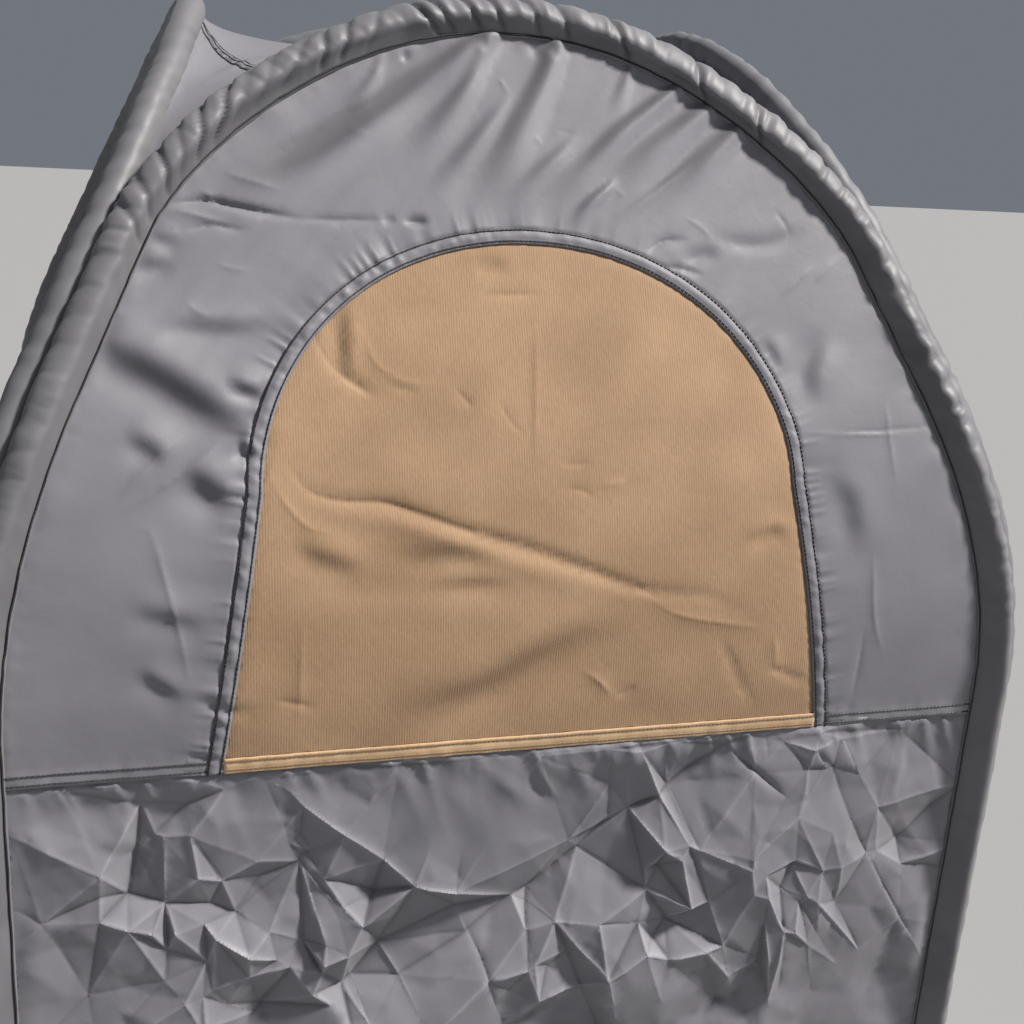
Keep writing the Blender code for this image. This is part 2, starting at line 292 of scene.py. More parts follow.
def beside(line, offset):
    """A line moved to its left by an offset, in its own plane."""
    ahead = unit(np.gradient(line, axis=0))
    return line + offset * np.stack([-ahead[:, 1], ahead[:, 0]], 1)


def mirrored(half):
    """A whole outline from its right half, right foot to left foot."""
    return np.vstack([half, half[-2::-1] * (-1, 1)])


# Outlines in (u, s)

def hoop_half(step=0.004):
    """Right half of a hoop's line, bottom centre to top centre."""
    side = BASE_HALF - CORNER_INSET
    points = [(0.0, HOOP_FLOOR_Z)]
    for angle in np.radians(np.linspace(-90, 0, 13)):
        points.append((side - HOOP_CORNER_RADIUS + HOOP_CORNER_RADIUS * math.cos(angle),
                       HOOP_FLOOR_Z + HOOP_CORNER_RADIUS + HOOP_CORNER_RADIUS * math.sin(angle)))
    for z in np.linspace(0.1, SHOULDER_Z, 180):
        points.append((float(half_width(z)) - CORNER_INSET, z))
    for angle in np.radians(np.linspace(0.5, 90, 180)):
        z = SHOULDER_Z + (TOP_Z - SHOULDER_Z) * math.sin(angle)
        points.append(((float(half_width(z)) - CORNER_INSET) * max(math.cos(angle), 0.0) ** ARCH_POWER, z))
    line = np.array(points)
    line[-1, 0] = 0.0
    line[:, 1] = run_at(line[:, 1])
    return spaced(line, step)


def hoop_inside(inset, split, upper):
    """Right half of a line inside the hoop, above or below a height along the cloth."""
    line = beside(hoop_half(), inset)
    line[0, 0] = line[-1, 0] = 0.0
    corner = int(np.argmax(line[:, 1] > 0.12))
    rising = line[corner:]
    foot = np.array([[np.interp(split, rising[:, 1], rising[:, 0]), split]])
    if upper:
        return np.vstack([foot, rising[rising[:, 1] > split + 0.002]])
    return np.vstack([line[:corner], rising[rising[:, 1] < split - 0.002], foot])


def window_half(first_z, grow=0.0, step=0.004):
    """Right half of the window's outline, from a height to the top, moved out by an amount."""
    points = []
    for z in np.linspace(first_z, WINDOW_SPRING_Z, 60):
        share = (z - WAIST_Z) / (WINDOW_SPRING_Z - WAIST_Z)
        points.append((WINDOW_HALF_SILL + (WINDOW_HALF_SPRING - WINDOW_HALF_SILL) * share, z))
    for angle in np.radians(np.linspace(1, 90, 90)):
        points.append((WINDOW_HALF_SPRING * max(math.cos(angle), 0.0) ** WINDOW_POWER,
                       WINDOW_SPRING_Z + (WINDOW_TOP_Z - WINDOW_SPRING_Z) * math.sin(angle)))
    line = np.array(points)
    line[-1, 0] = 0.0
    line[:, 1] = run_at(line[:, 1])
    line = beside(spaced(line, step), -grow)
    line[-1, 0] = 0.0
    line[0, 1] = run_at(first_z)
    return line


# Random but fixed variation

def bumps(x, y, seed):
    """Smooth random values from -1 to 1, about one bump a unit."""
    table = np.random.default_rng(seed).uniform(-1, 1, (128, 128))
    column, row = np.floor(x).astype(int), np.floor(y).astype(int)
    fx, fy = x - column, y - row
    fx, fy = fx * fx * (3 - 2 * fx), fy * fy * (3 - 2 * fy)
    a, b = table[column % 128, row % 128], table[(column + 1) % 128, row % 128]
    c, d = table[column % 128, (row + 1) % 128], table[(column + 1) % 128, (row + 1) % 128]
    return (a * (1 - fx) + b * fx) * (1 - fy) + (c * (1 - fx) + d * fx) * fy


def ripple(x, seed):
    """Smooth random values along a line."""
    return bumps(x, x * 0 + 0.5, seed)


def eased(value):
    """From 0 to 1 as a value goes from 0 to 1, without a corner at either end."""
    value = np.clip(value, 0.0, 1.0)
    return value * value * (3 - 2 * value)


# Folds. Each is (kind, height in mm, half width in mm, points).
# band: a flank turned from the light; ridge, groove: rounded; crease, slit: sharp ridge and sharp groove;
# fan: a pleat that starts narrow at a seam and widens, steeper on its right; swell: the same inside a panel.

PLEATS = ("fan", "swell")
FAN_LIT = np.array((0.95, -0.30))    # across and up, the side of a pleat that is lit
SHARP_FOLD = 4.5    # half width in mm under which the mesh is made finer


def fold_relief(points, folds):
    relief = np.zeros(len(points))
    for kind, height, width, line in folds:
        width = width / 1000
        margin = (5 if kind == "band" or kind in PLEATS else 4) * width
        close = boxed(points, line.min(0) - margin, line.max(0) + margin)
        if not len(close):
            continue
        pleat = kind in PLEATS
        distance, along, side = near_line(points[close], line, FAN_LIT if pleat else LIT_SIDE)
        length = line_length(line)
        fade = eased(np.minimum(along, length - along) / max(0.42 * length, 0.004))
        x = distance / width
        if pleat:
            x = side * x / (0.50 + 0.8 * along / length)
            shape = eased((x + 1.4) / 2.3) * (1 - eased((x - 0.7) / 2.2))
            fade = eased((length - along) / (0.6 * length))
            if kind == "swell":
                fade *= eased(along / (0.4 * length))
        elif kind == "band":
            shape = 1.5 * side * np.tanh(x) * np.exp(-(x / 2.2) ** 2)
        elif kind in ("ridge", "groove"):
            shape = np.exp(-x * x)
        else:
            shape = np.exp(-x)
        if kind in ("groove", "slit"):
            shape = -shape
        relief[close] += height / 1000 * fade * shape
    return relief


def pleat_painted_shade(folds):
    """Painted shade and highlight along folds, as a share, as a function of (u, s): pleats are painted darker on the
    flank turned from the light and lighter on the lit flank, and broad bands and grooves are painted darker.
    """
    def tone(points):
        total = np.zeros(len(points))
        for kind, height, width, line in folds:
            pleat = kind in PLEATS
            if not pleat and (kind not in ("band", "groove") or width < 7):
                continue
            distance, along, side = near_line(points, line, FAN_LIT if pleat else LIT_SIDE)
            length = line_length(line)
            if not pleat:
                ends = eased(np.minimum(along, length - along) / (0.42 * length))
                # painted shade along broad bands and grooves
                total -= 0.036 * height * ends * np.exp(-(distance * 1000 / width) ** 2)
                continue
            x = side * distance * 1000 / width / (0.50 + 0.8 * along / length)
            fade = eased((length - along) / (0.45 * length)) * min(height / 4.5, 1.2)
            if kind == "swell":
                fade *= eased(along / (0.4 * length))
            # painted highlight on the lit flank, painted shade on the flank turned from the light
            total += fade * (0.15 * np.exp(-((x - 1.7) / 0.8) ** 2) - 0.34 * np.exp(-((x + 0.25) / 0.90) ** 2))
        return np.clip(total, -0.40, 0.18)
    return tone


def read_folds(folds, swell):
    """Folds whose points were read off the photograph, laid on the front face."""
    return [(kind, height * swell, width, rounded(from_photo(line))) for kind, height, width, line in folds]


def sharp_lines(folds):
    return [line for kind, height, width, line in folds if width < SHARP_FOLD]


# Cloth pieces

def close_points(points, others, reach):
    """Whether each point lies nearer to any of the others than a reach."""
    find = finder(others)
    return np.array([find((x, y, 0.0))[2] < reach for x, y in points], bool)


def hexes(low, high, step, seed):
    """Points that fill a box evenly, a little out of place so that no rows show."""
    across = np.arange(low[0], high[0], step)
    up = np.arange(low[1], high[1], step * 0.866)
    x, y = np.meshgrid(across, up)
    x = x + (np.arange(len(up)) % 2)[:, None] * step / 2
    shift = np.random.default_rng(seed).uniform(-0.18, 0.18, (x.size, 2)) * step
    return np.stack([x.ravel(), y.ravel()], 1) + shift


def within(points, outline):
    """Whether points lie inside a closed outline."""
    order = np.argsort(points[:, 1])
    heights = points[order, 1]
    inside = np.zeros(len(points), bool)
    for start, end in zip(outline, np.roll(outline, -1, axis=0)):
        low, high = sorted((start[1], end[1]))
        if high - low < 1e-12:
            continue
        row = order[np.searchsorted(heights, low, "right"):np.searchsorted(heights, high, "right")]
        share = (points[row, 1] - start[1]) / (end[1] - start[1])
        crossed = start[0] + share * (end[0] - start[0]) > points[row, 0]
        inside[row[crossed]] ^= True
    return inside


def triangulated(outline, lines, fills):
    """Triangles inside an outline, with edges along the lines and the fill points between."""
    fixed = [outline]
    edges = []
    count = len(outline)
    for line in lines:
        fixed.append(line)
        edges += [(count + i, count + i + 1) for i in range(len(line) - 1)]
        count += len(line)
    held = np.vstack(fixed)
    points = held
    for step, fill in fills:
        fill = fill[within(fill, outline)]
        if len(fill):
            points = np.vstack([points, fill[~close_points(fill, points, step * 0.6)]])
    result = delaunay_2d_cdt([Vector(p) for p in points.tolist()], edges,
                             [list(range(len(outline)))], 0, 1e-6, False)
    corners = np.array([tuple(v) for v in result[0]])
    faces = np.array([f for f in result[2] if len(f) == 3])
    faces = faces[within(corners[faces].mean(1), outline)]
    used = np.unique(faces)
    number = np.full(len(corners), -1)
    number[used] = np.arange(len(used))
    return corners[used], number[faces]


def smoothed(values, faces, times):
    """Values at mesh points, each eased towards its neighbours'."""
    pairs = np.vstack([faces[:, [0, 1]], faces[:, [1, 2]], faces[:, [2, 0]]])
    pairs = np.vstack([pairs, pairs[:, ::-1]])
    share = np.maximum(np.bincount(pairs[:, 0], minlength=len(values)), 1)
    for _ in range(times):
        around = np.bincount(pairs[:, 0], weights=values[pairs[:, 1]], minlength=len(values)) / share
        values = 0.5 * values + 0.5 * around
    return values


def mesh_piece(name, corners, faces, flat_points, tone=None):
    """A smooth mesh with its flat points as UV map, and the painted shade and highlight, as a share, by which its
    cloth is darker or lighter.
    """
    mesh = bpy.data.meshes.new(name)
    mesh.from_pydata(corners.tolist(), [], faces.tolist())
    mesh.validate()
    mesh.shade_smooth()
    layer = mesh.uv_layers.new(name="cloth")
    order = np.empty(len(mesh.loops), np.int32)
    mesh.loops.foreach_get("vertex_index", order)
    layer.data.foreach_set("uv", flat_points[order].astype(np.float32).ravel())
    if tone is not None:
        mesh.attributes.new("tone", "FLOAT", "POINT").data.foreach_set("value", tone.astype(np.float32))
    obj = bpy.data.objects.new(name, mesh)
    SCENE.objects.link(obj)
    return obj


def thicken(obj, thickness=CLOTH):
    solid = obj.modifiers.new("thickness", "SOLIDIFY")
    solid.thickness = thickness
    solid.offset = -1.0


def finished(obj, finish_name, slot, *nodes):
    obj.data.materials.clear()
    obj.data.materials.append(FINISHES[finish_name])
    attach(obj, "root")
    if nodes:
        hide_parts(*nodes)


HELD = {"lower": "hung", "door_cloth": "hung", "threshold": "hung"}


def cut_cloth(obj, corners, faces, flat_points):
    """Works out a sheet's size, cut to the size of its outline, which the flat seam-to-seam surface gives, how it is
    held and the hoops near it; nothing is done with them.
    """
    name = obj.name
    a, b, c = (corners[faces[:, i]] for i in range(3))
    area = float(np.linalg.norm(np.cross(b - a, c - a), axis=1).sum() / 2)
    fa, fb, fc = (flat_points[faces[:, i]] for i in range(3))
    drawn = float(np.abs((fb - fa)[:, 0] * (fc - fa)[:, 1] - (fb - fa)[:, 1] * (fc - fa)[:, 0]).sum() / 2)
    width, length = (flat_points.max(0) - flat_points.min(0)) * math.sqrt(area / drawn)
    if area < 0.35 * width * length:
        width = ZIP_WIDTH if "zip" in name else BAND_WIDTH
        length = area / width
    held = next((way for part, way in HELD.items() if part in name), "stretched")
    near = [f"hoop_{side}" for side in FACES if name.startswith(side)]
    near = near or (["hoop_right"] if name.startswith("door") else [f"hoop_{side}" for side in FACES])
    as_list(near)


def cloth_piece(name, place, outline, relief, node, spacing, close=(), lines=(), soften=0, seed=1, tone=None,
                finish_name="grey_polyester", slot="grey_polyester"):
    """A sheet of cloth: outline in (u, s), its relief in metres as a function of (u, s), then its thickness.

    close is a list of (step, test): where the test holds, the mesh is that fine; points may stand for a test.
    """
    low, high = outline.min(0), outline.max(0)
    fills = []
    for number, (step, test) in enumerate(close):
        if callable(test):
            fill = hexes(low, high, step, seed * 7 + number)
            fill = fill[test(fill)]
        else:
            fill = test
        fills.append((step, fill))
    fills.append((spacing, hexes(low, high, spacing, seed)))
    points, faces = triangulated(outline, list(lines), fills)
    proud = relief(points)
    if soften:
        proud = smoothed(proud, faces, soften)
    corners = place(points, proud)
    out = np.cross(corners[faces[:, 1]] - corners[faces[:, 0]], corners[faces[:, 2]] - corners[faces[:, 0]])
    above = place(points[faces[:, 0]], proud[faces[:, 0]] + 0.01) - corners[faces[:, 0]]
    if (out * above).sum() < 0:
        faces = faces[:, ::-1]
    obj = mesh_piece(name, corners, faces, points, tone(points) if tone else None)
    thicken(obj)
    finished(obj, finish_name, slot, node)
    cut_cloth(obj, place(points, np.zeros(len(points))), faces, points)


# Finishes

FINISHES = {}


def add_node(tree, kind, inputs=None, **settings):
    node = tree.nodes.new(kind)
    for key, value in settings.items():
        setattr(node, key, value)
    for key, value in (inputs or {}).items():
        if isinstance(value, bpy.types.NodeSocket):
            tree.links.new(value, node.inputs[key])
        else:
            node.inputs[key].default_value = value
    return node


def shader_group(name, inputs, outputs):
    tree = bpy.data.node_groups.new(name, "ShaderNodeTree")
    for label, kind, value in inputs:
        socket = tree.interface.new_socket(label, in_out="INPUT", socket_type=kind)
        if value is not None:
            socket.default_value = value
    for label, kind in outputs:
        tree.interface.new_socket(label, in_out="OUTPUT", socket_type=kind)
    return tree, tree.nodes.new("NodeGroupInput"), tree.nodes.new("NodeGroupOutput")


def add_math(tree, operation, a, b=0.0, c=0.0):
    return add_node(tree, "ShaderNodeMath", {0: a, 1: b, 2: c}, operation=operation).outputs[0]


def make_tone_group():
    """Colour that drifts between two tones, with fine specks."""
    tree, start, end = shader_group(
        "cloth_tone",
        [("Point", "NodeSocketVector", None), ("Colour", "NodeSocketColor", (0.2, 0.2, 0.2, 1)),
         ("Deep Colour", "NodeSocketColor", (0.1, 0.1, 0.1, 1)), ("Patches Per Metre", "NodeSocketFloat", 9.0),
         ("Specks Per Metre", "NodeSocketFloat", 900.0), ("Speck Amount", "NodeSocketFloat", 0.15)],
        [("Colour", "NodeSocketColor")])
    patch = add_node(tree, "ShaderNodeTexNoise", {"Vector": start.outputs["Point"],
                                                 "Scale": start.outputs["Patches Per Metre"], "Detail": 3.0})
    speck = add_node(tree, "ShaderNodeTexNoise", {"Vector": start.outputs["Point"],
                                                 "Scale": start.outputs["Specks Per Metre"], "Detail": 2.0})
    soft = add_node(tree, "ShaderNodeMapRange", {"Value": patch.outputs["Fac"], "From Min": 0.3, "From Max": 0.7})
    fine = add_math(tree, "SUBTRACT", speck.outputs["Fac"], 0.5)
    share = add_math(tree, "MULTIPLY_ADD", fine, start.outputs["Speck Amount"], soft.outputs["Result"])
    mix = add_node(tree, "ShaderNodeMix", {"Factor": share}, data_type="RGBA")
    tree.links.new(start.outputs["Colour"], mix.inputs["A"])
    tree.links.new(start.outputs["Deep Colour"], mix.inputs["B"])
    tree.links.new(mix.outputs["Result"], end.inputs["Colour"])
    return tree


def make_weave_group():
    """Height of a plain weave over fine crinkles, in metres."""
    tree, start, end = shader_group(
        "woven_height",
        [("Point", "NodeSocketVector", None), ("Threads Per Metre", "NodeSocketFloat", 1600.0),
         ("Thread Height", "NodeSocketFloat", 0.000004), ("Crinkles Per Metre", "NodeSocketFloat", 90.0),
         ("Crinkle Height", "NodeSocketFloat", 0.0002)],
        [("Height", "NodeSocketFloat")])
    apart = add_node(tree, "ShaderNodeSeparateXYZ", {0: start.outputs["Point"]})
    waves = []
    for axis in ("X", "Y"):
        turns = add_math(tree, "MULTIPLY", apart.outputs[axis], start.outputs["Threads Per Metre"])
        waves.append(add_math(tree, "SINE", add_math(tree, "MULTIPLY", turns, 2 * math.pi)))
    threads = add_math(tree, "MULTIPLY", waves[0], waves[1])
    crinkle = add_node(tree, "ShaderNodeTexNoise", {
        "Vector": start.outputs["Point"], "Scale": start.outputs["Crinkles Per Metre"], "Detail": 4.0,
        "Roughness": 0.55, "Distortion": 0.6})
    weave = add_math(tree, "MULTIPLY", threads, start.outputs["Thread Height"])
    total = add_math(tree, "MULTIPLY_ADD", crinkle.outputs["Fac"], start.outputs["Crinkle Height"], weave)
    tree.links.new(total, end.inputs["Height"])
    return tree


def make_rib_group():
    """Fine upright ribs: their height in metres and a mask that is 1 on a rib."""
    tree, start, end = shader_group(
        "upright_ribs",
        [("Point", "NodeSocketVector", None), ("Ribs Per Metre", "NodeSocketFloat", 360.0),
         ("Rib Height", "NodeSocketFloat", 0.00006), ("Wander", "NodeSocketFloat", 0.35)],
        [("Height", "NodeSocketFloat"), ("Mask", "NodeSocketFloat")])
    apart = add_node(tree, "ShaderNodeSeparateXYZ", {0: start.outputs["Point"]})
    drift = add_node(tree, "ShaderNodeTexNoise", {"Vector": start.outputs["Point"], "Scale": 22.0, "Detail": 1.0})
    turns = add_math(tree, "MULTIPLY", apart.outputs["X"], start.outputs["Ribs Per Metre"])
    moved = add_math(tree, "MULTIPLY_ADD", drift.outputs["Fac"], start.outputs["Wander"], turns)
    wave = add_math(tree, "SINE", add_math(tree, "MULTIPLY", moved, 2 * math.pi))
    long = add_node(tree, "ShaderNodeMapping", {"Vector": start.outputs["Point"], "Scale": (1.0, 0.22, 1.0)})
    slub = add_node(tree, "ShaderNodeTexNoise", {"Vector": long.outputs["Vector"], "Scale": 420.0, "Detail": 2.0})
    mask = add_math(tree, "MULTIPLY_ADD", wave, 0.3, slub.outputs["Fac"])
    height = add_math(tree, "MULTIPLY", mask, start.outputs["Rib Height"])
    tree.links.new(height, end.inputs["Height"])
    tree.links.new(mask, end.inputs["Mask"])
    return tree


PATCHES = 9.0      # changes of colour in a metre
# RIB_SHADE is partly painted shade in the grooves between ribs and partly the random slub of the thread.
RIB_SHADE = 0.34   # how much of the deeper colour lies between ribs


def cloth_finish(name, colour, deep, roughness, uv=True, sheen=0.0, specular=0.5, weave=None, ribs=None,
                 specks=900.0, speck_amount=0.15, metallic=0.0):
    """A material whose colour, gloss and fine relief vary over the cloth."""
    material = bpy.data.materials.new(name)
    material.use_nodes = True
    tree = material.node_tree
    shader = tree.nodes["Principled BSDF"]
    shader.inputs["Metallic"].default_value = metallic
    shader.inputs["Specular IOR Level"].default_value = specular
    shader.inputs["Sheen Weight"].default_value = sheen
    if uv:
        point = add_node(tree, "ShaderNodeUVMap", uv_map="cloth").outputs["UV"]
    else:
        point = add_node(tree, "ShaderNodeTexCoord").outputs["Object"]
    tone = add_node(tree, "ShaderNodeGroup", node_tree=GROUPS["tone"], inputs={
        "Point": point, "Colour": (*colour, 1), "Deep Colour": (*deep, 1), "Patches Per Metre": PATCHES,
        "Specks Per Metre": specks, "Speck Amount": speck_amount})
    shade = tone.outputs["Colour"]
    relief = add_node(tree, "ShaderNodeGroup", {"Point": point, **(weave or {})}, node_tree=GROUPS["weave"])
    height = relief.outputs["Height"]
    if ribs:
        rib = add_node(tree, "ShaderNodeGroup", {"Point": point, **ribs}, node_tree=GROUPS["ribs"])
        height = add_math(tree, "ADD", height, rib.outputs["Height"])
        # Painted shade between the ribs, with the slub's random colour: the cloth is darker where the rib mask is low.
        fade = add_node(tree, "ShaderNodeMapRange", {"Value": rib.outputs["Mask"], "From Min": 0.15, "From Max": 0.85,
                                                    "To Min": RIB_SHADE, "To Max": 0.0})
        darker = add_node(tree, "ShaderNodeMix", data_type="RGBA", blend_type="MULTIPLY", inputs={
            "Factor": fade.outputs["Result"], "A": shade, "B": (*(v * 1.6 for v in deep), 1)})
        shade = darker.outputs["Result"]
    if uv:
        # Painted shade and highlight: the mesh's tone attribute makes the colour darker or lighter.
        share = add_node(tree, "ShaderNodeAttribute", attribute_name="tone")
        scaled = add_node(tree, "ShaderNodeVectorMath", operation="SCALE", inputs={
            "Vector": shade, "Scale": add_math(tree, "ADD", share.outputs["Fac"], 1.0)})
        shade = scaled.outputs["Vector"]
    tree.links.new(shade, shader.inputs["Base Color"])
    gloss = add_node(tree, "ShaderNodeTexNoise", {"Vector": point, "Scale": 35.0, "Detail": 3.0})
    rough = add_node(tree, "ShaderNodeMapRange", {"Value": gloss.outputs["Fac"], "From Min": 0.25, "From Max": 0.75,
                                                 "To Min": roughness - 0.06, "To Max": roughness + 0.07})
    tree.links.new(rough.outputs["Result"], shader.inputs["Roughness"])
    bump = add_node(tree, "ShaderNodeBump", {"Height": height, "Distance": 1.0, "Strength": 1.0})
    tree.links.new(bump.outputs["Normal"], shader.inputs["Normal"])
    FINISHES[name] = material


GROUPS = {"tone": make_tone_group(), "weave": make_weave_group(), "ribs": make_rib_group()}

cloth_finish("grey_polyester", (0.218, 0.214, 0.234), (0.186, 0.182, 0.200), 0.55, specular=0.35, sheen=0.06)
cloth_finish("sleeve_polyester", (0.185, 0.182, 0.192), (0.156, 0.153, 0.163), 0.52, specular=0.40, sheen=0.06)
cloth_finish("tan_ribbed", (0.445, 0.297, 0.180), (0.350, 0.228, 0.134), 0.80, specular=0.3, sheen=0.15,
             weave={"Crinkle Height": 0.00022, "Thread Height": 0.00003, "Threads Per Metre": 700.0},
             ribs={"Rib Height": 0.00016}, speck_amount=0.7, specks=600.0)
cloth_finish("tan_strip", (0.660, 0.455, 0.270), (0.560, 0.380, 0.220), 0.72, specular=0.35,
             weave={"Crinkle Height": 0.0001}, speck_amount=0.4)
cloth_finish("black_thread", (0.012, 0.012, 0.014), (0.022, 0.022, 0.026), 0.60, uv=False,
             weave={"Crinkle Height": 0.0}, specks=1500.0)
cloth_finish("brown_thread", (0.170, 0.090, 0.042), (0.120, 0.062, 0.030), 0.62, uv=False,
             weave={"Crinkle Height": 0.0}, specks=1500.0)
cloth_finish("spring_steel", (0.42, 0.42, 0.43), (0.30, 0.30, 0.31), 0.36, uv=False, metallic=1.0,
             weave={"Crinkle Height": 0.00001, "Thread Height": 0.0})
cloth_finish("zip_metal", (0.30, 0.30, 0.31), (0.22, 0.22, 0.23), 0.38, uv=False, metallic=1.0,
             weave={"Crinkle Height": 0.00003, "Thread Height": 0.0})
cloth_finish("black_tape", (0.030, 0.030, 0.033), (0.020, 0.020, 0.022), 0.74, specular=0.3,
             weave={"Threads Per Metre": 500.0, "Thread Height": 0.00004, "Crinkle Height": 0.00008})
cloth_finish("black_webbing", (0.034, 0.034, 0.037), (0.022, 0.022, 0.025), 0.78, specular=0.3,
             weave={"Threads Per Metre": 330.0, "Thread Height": 0.00012, "Crinkle Height": 0.0001})


# Stitches and teeth: small pieces set along a line by Geometry Nodes

def make_row_tree():
    tree = bpy.data.node_groups.new("pieces_along_line", "GeometryNodeTree")
    face = tree.interface
    face.new_socket("Line", in_out="INPUT", socket_type="NodeSocketGeometry")
    for label, value in (("Pitch", STITCH_PITCH), ("Length", STITCH_LENGTH), ("Thickness", STITCH_THICK)):
        face.new_socket(label, in_out="INPUT", socket_type="NodeSocketFloat").default_value = value
    face.new_socket("Finish", in_out="INPUT", socket_type="NodeSocketMaterial")
    face.new_socket("Pieces", in_out="OUTPUT", socket_type="NodeSocketGeometry")
    start, end = tree.nodes.new("NodeGroupInput"), tree.nodes.new("NodeGroupOutput")
    curve = add_node(tree, "GeometryNodeMeshToCurve", {"Mesh": start.outputs["Line"]})
    points = add_node(tree, "GeometryNodeCurveToPoints", mode="LENGTH", inputs={
        "Curve": curve.outputs[0], "Length": start.outputs["Pitch"]})
    turned = add_node(tree, "FunctionNodeAlignRotationToVector", {"Vector": points.outputs["Tangent"]}, axis="Z")
    radius = add_math(tree, "MULTIPLY", start.outputs["Thickness"], 0.5)
    stitch = add_node(tree, "GeometryNodeMeshCylinder", {
        "Vertices": 4, "Side Segments": 1, "Radius": radius, "Depth": start.outputs["Length"]})
    placed = add_node(tree, "GeometryNodeInstanceOnPoints", {
        "Points": points.outputs["Points"], "Instance": stitch.outputs["Mesh"],
        "Rotation": turned.outputs["Rotation"]})
    real = add_node(tree, "GeometryNodeRealizeInstances", {"Geometry": placed.outputs["Instances"]})
    finish = add_node(tree, "GeometryNodeSetMaterial", {
        "Geometry": real.outputs["Geometry"], "Material": start.outputs["Finish"]})
    tree.links.new(finish.outputs["Geometry"], end.inputs["Pieces"])
    return tree


ROW_TREE = make_row_tree()


def sewn_rows(name, rows, finish_name="black_thread", slot="grey_polyester", pitch=STITCH_PITCH,
              length=STITCH_LENGTH, thick=STITCH_THICK):
    """Stitches along lines of points in space, as one piece."""
    corners, edges, count = [], [], 0
    for row, closed in rows:
        corners.append(row)
        edges += [(count + i, count + i + 1) for i in range(len(row) - 1)]
        if closed:
            edges.append((count + len(row) - 1, count))
        count += len(row)
    path = bpy.data.meshes.new(f"{name}_path")
    path.from_pydata(np.vstack(corners).tolist(), edges, [])
    holder = bpy.data.objects.new(f"{name}_path", path)
    SCENE.objects.link(holder)
    rows_modifier = holder.modifiers.new("rows", "NODES")
    rows_modifier.node_group = ROW_TREE
    values = {"Pitch": pitch, "Length": length, "Thickness": thick, "Finish": FINISHES[finish_name]}
    for item in ROW_TREE.interface.items_tree:
        if item.in_out == "INPUT" and item.name in values:
            rows_modifier[item.identifier] = values[item.name]
    graph = bpy.context.evaluated_depsgraph_get()
    mesh = bpy.data.meshes.new_from_object(holder.evaluated_get(graph))
    bpy.data.objects.remove(holder)
    bpy.data.meshes.remove(path)
    mesh.name = name
    obj = bpy.data.objects.new(name, mesh)
    SCENE.objects.link(obj)
    finished(obj, finish_name, slot)


def thread(place, relief, line, lift, step=0.004):
    """A row of thread over a piece of cloth along a line in (u, s), for sewn_rows."""
    line = spaced(np.array(line), step)
    return place(line, relief(line) + lift), False


# Sleeves

SLEEVE_TOP = ((-0.0247, 0.0012), (-0.0222, 0.0020), (-0.0203, 0.0030), (-0.0170, 0.0058), (-0.0100, 0.0112),
              (-0.0040, 0.0160), (0.0010, 0.0182), (0.0065, 0.0176), (0.0120, 0.0144), (0.0165, 0.0095),
              (0.0190, 0.0045), (0.0196, 0.0000))
CREST_AT = 0.26     # where its outer crest is, as a share of the way round
SCALLOP = 0.034     # length of one gather
# Mesh of each sleeve: step below the arch, step over it, points around
SLEEVE_MESH = {"front": (0.0160, 0.0027, 32), "left": (0.0130, 0.0056, 18), "back": (0.0140, 0.0085, 16),
               "right": (0.0140, 0.0085, 16)}


def sleeve_section(count):
    """Closed section of a sleeve as (out, proud) from the seam over the outside and back, with its run."""
    half = np.array(SLEEVE_TOP)
    whole = np.vstack([half, half[-2::-1] * (1, -1)])
    line = rounded(whole, 0.0015)
    return spaced(line, line_length(line) / count, closed=True)


def hoop_frames(step, fine_step):
    """The front hoop's line in space with its outward and facing directions: finer steps over the arch."""
    half = hoop_half(0.003)
    whole = np.vstack([half, half[-2:0:-1] * (-1, 1)])
    whole = spaced(whole, 0.001, closed=True)
    density = 1 / np.where(whole[:, 1] > 1.22, fine_step, step)
    filled = np.concatenate([[0.0], np.cumsum(density * 0.001)])
    count = int(filled[-1])
    at = np.interp(np.arange(count) * filled[-1] / count, filled, np.arange(len(filled)))
    ahead_point = np.vstack([whole, whole[:1]])
    line = np.stack([np.interp(at, np.arange(len(ahead_point)), ahead_point[:, axis]) for axis in (0, 1)], 1)
    z = height_at(line[:, 1])
    lean = lean_at(z)
    points = np.stack([line[:, 0], -half_width(z), z], 1)
    facing = np.stack([np.zeros(len(z)), -np.ones(len(z)), lean], 1) / np.sqrt(1 + lean * lean)[:, None]
    ahead = unit(np.roll(points, -1, axis=0) - np.roll(points, 1, axis=0))
    return line, points, unit(np.cross(ahead, facing)), facing


def domes(turns, seed):
    """Rounded gathers with sharp valleys between them, from -1 to 1, each of its own height."""
    number = np.floor(turns).astype(int)
    across = 2 * (turns - number) - 1
    height = np.random.default_rng(seed).uniform(0.45, 1.0, 997)[number % 997]
    return height * (1 - 1.6 * np.abs(across) ** 1.7)


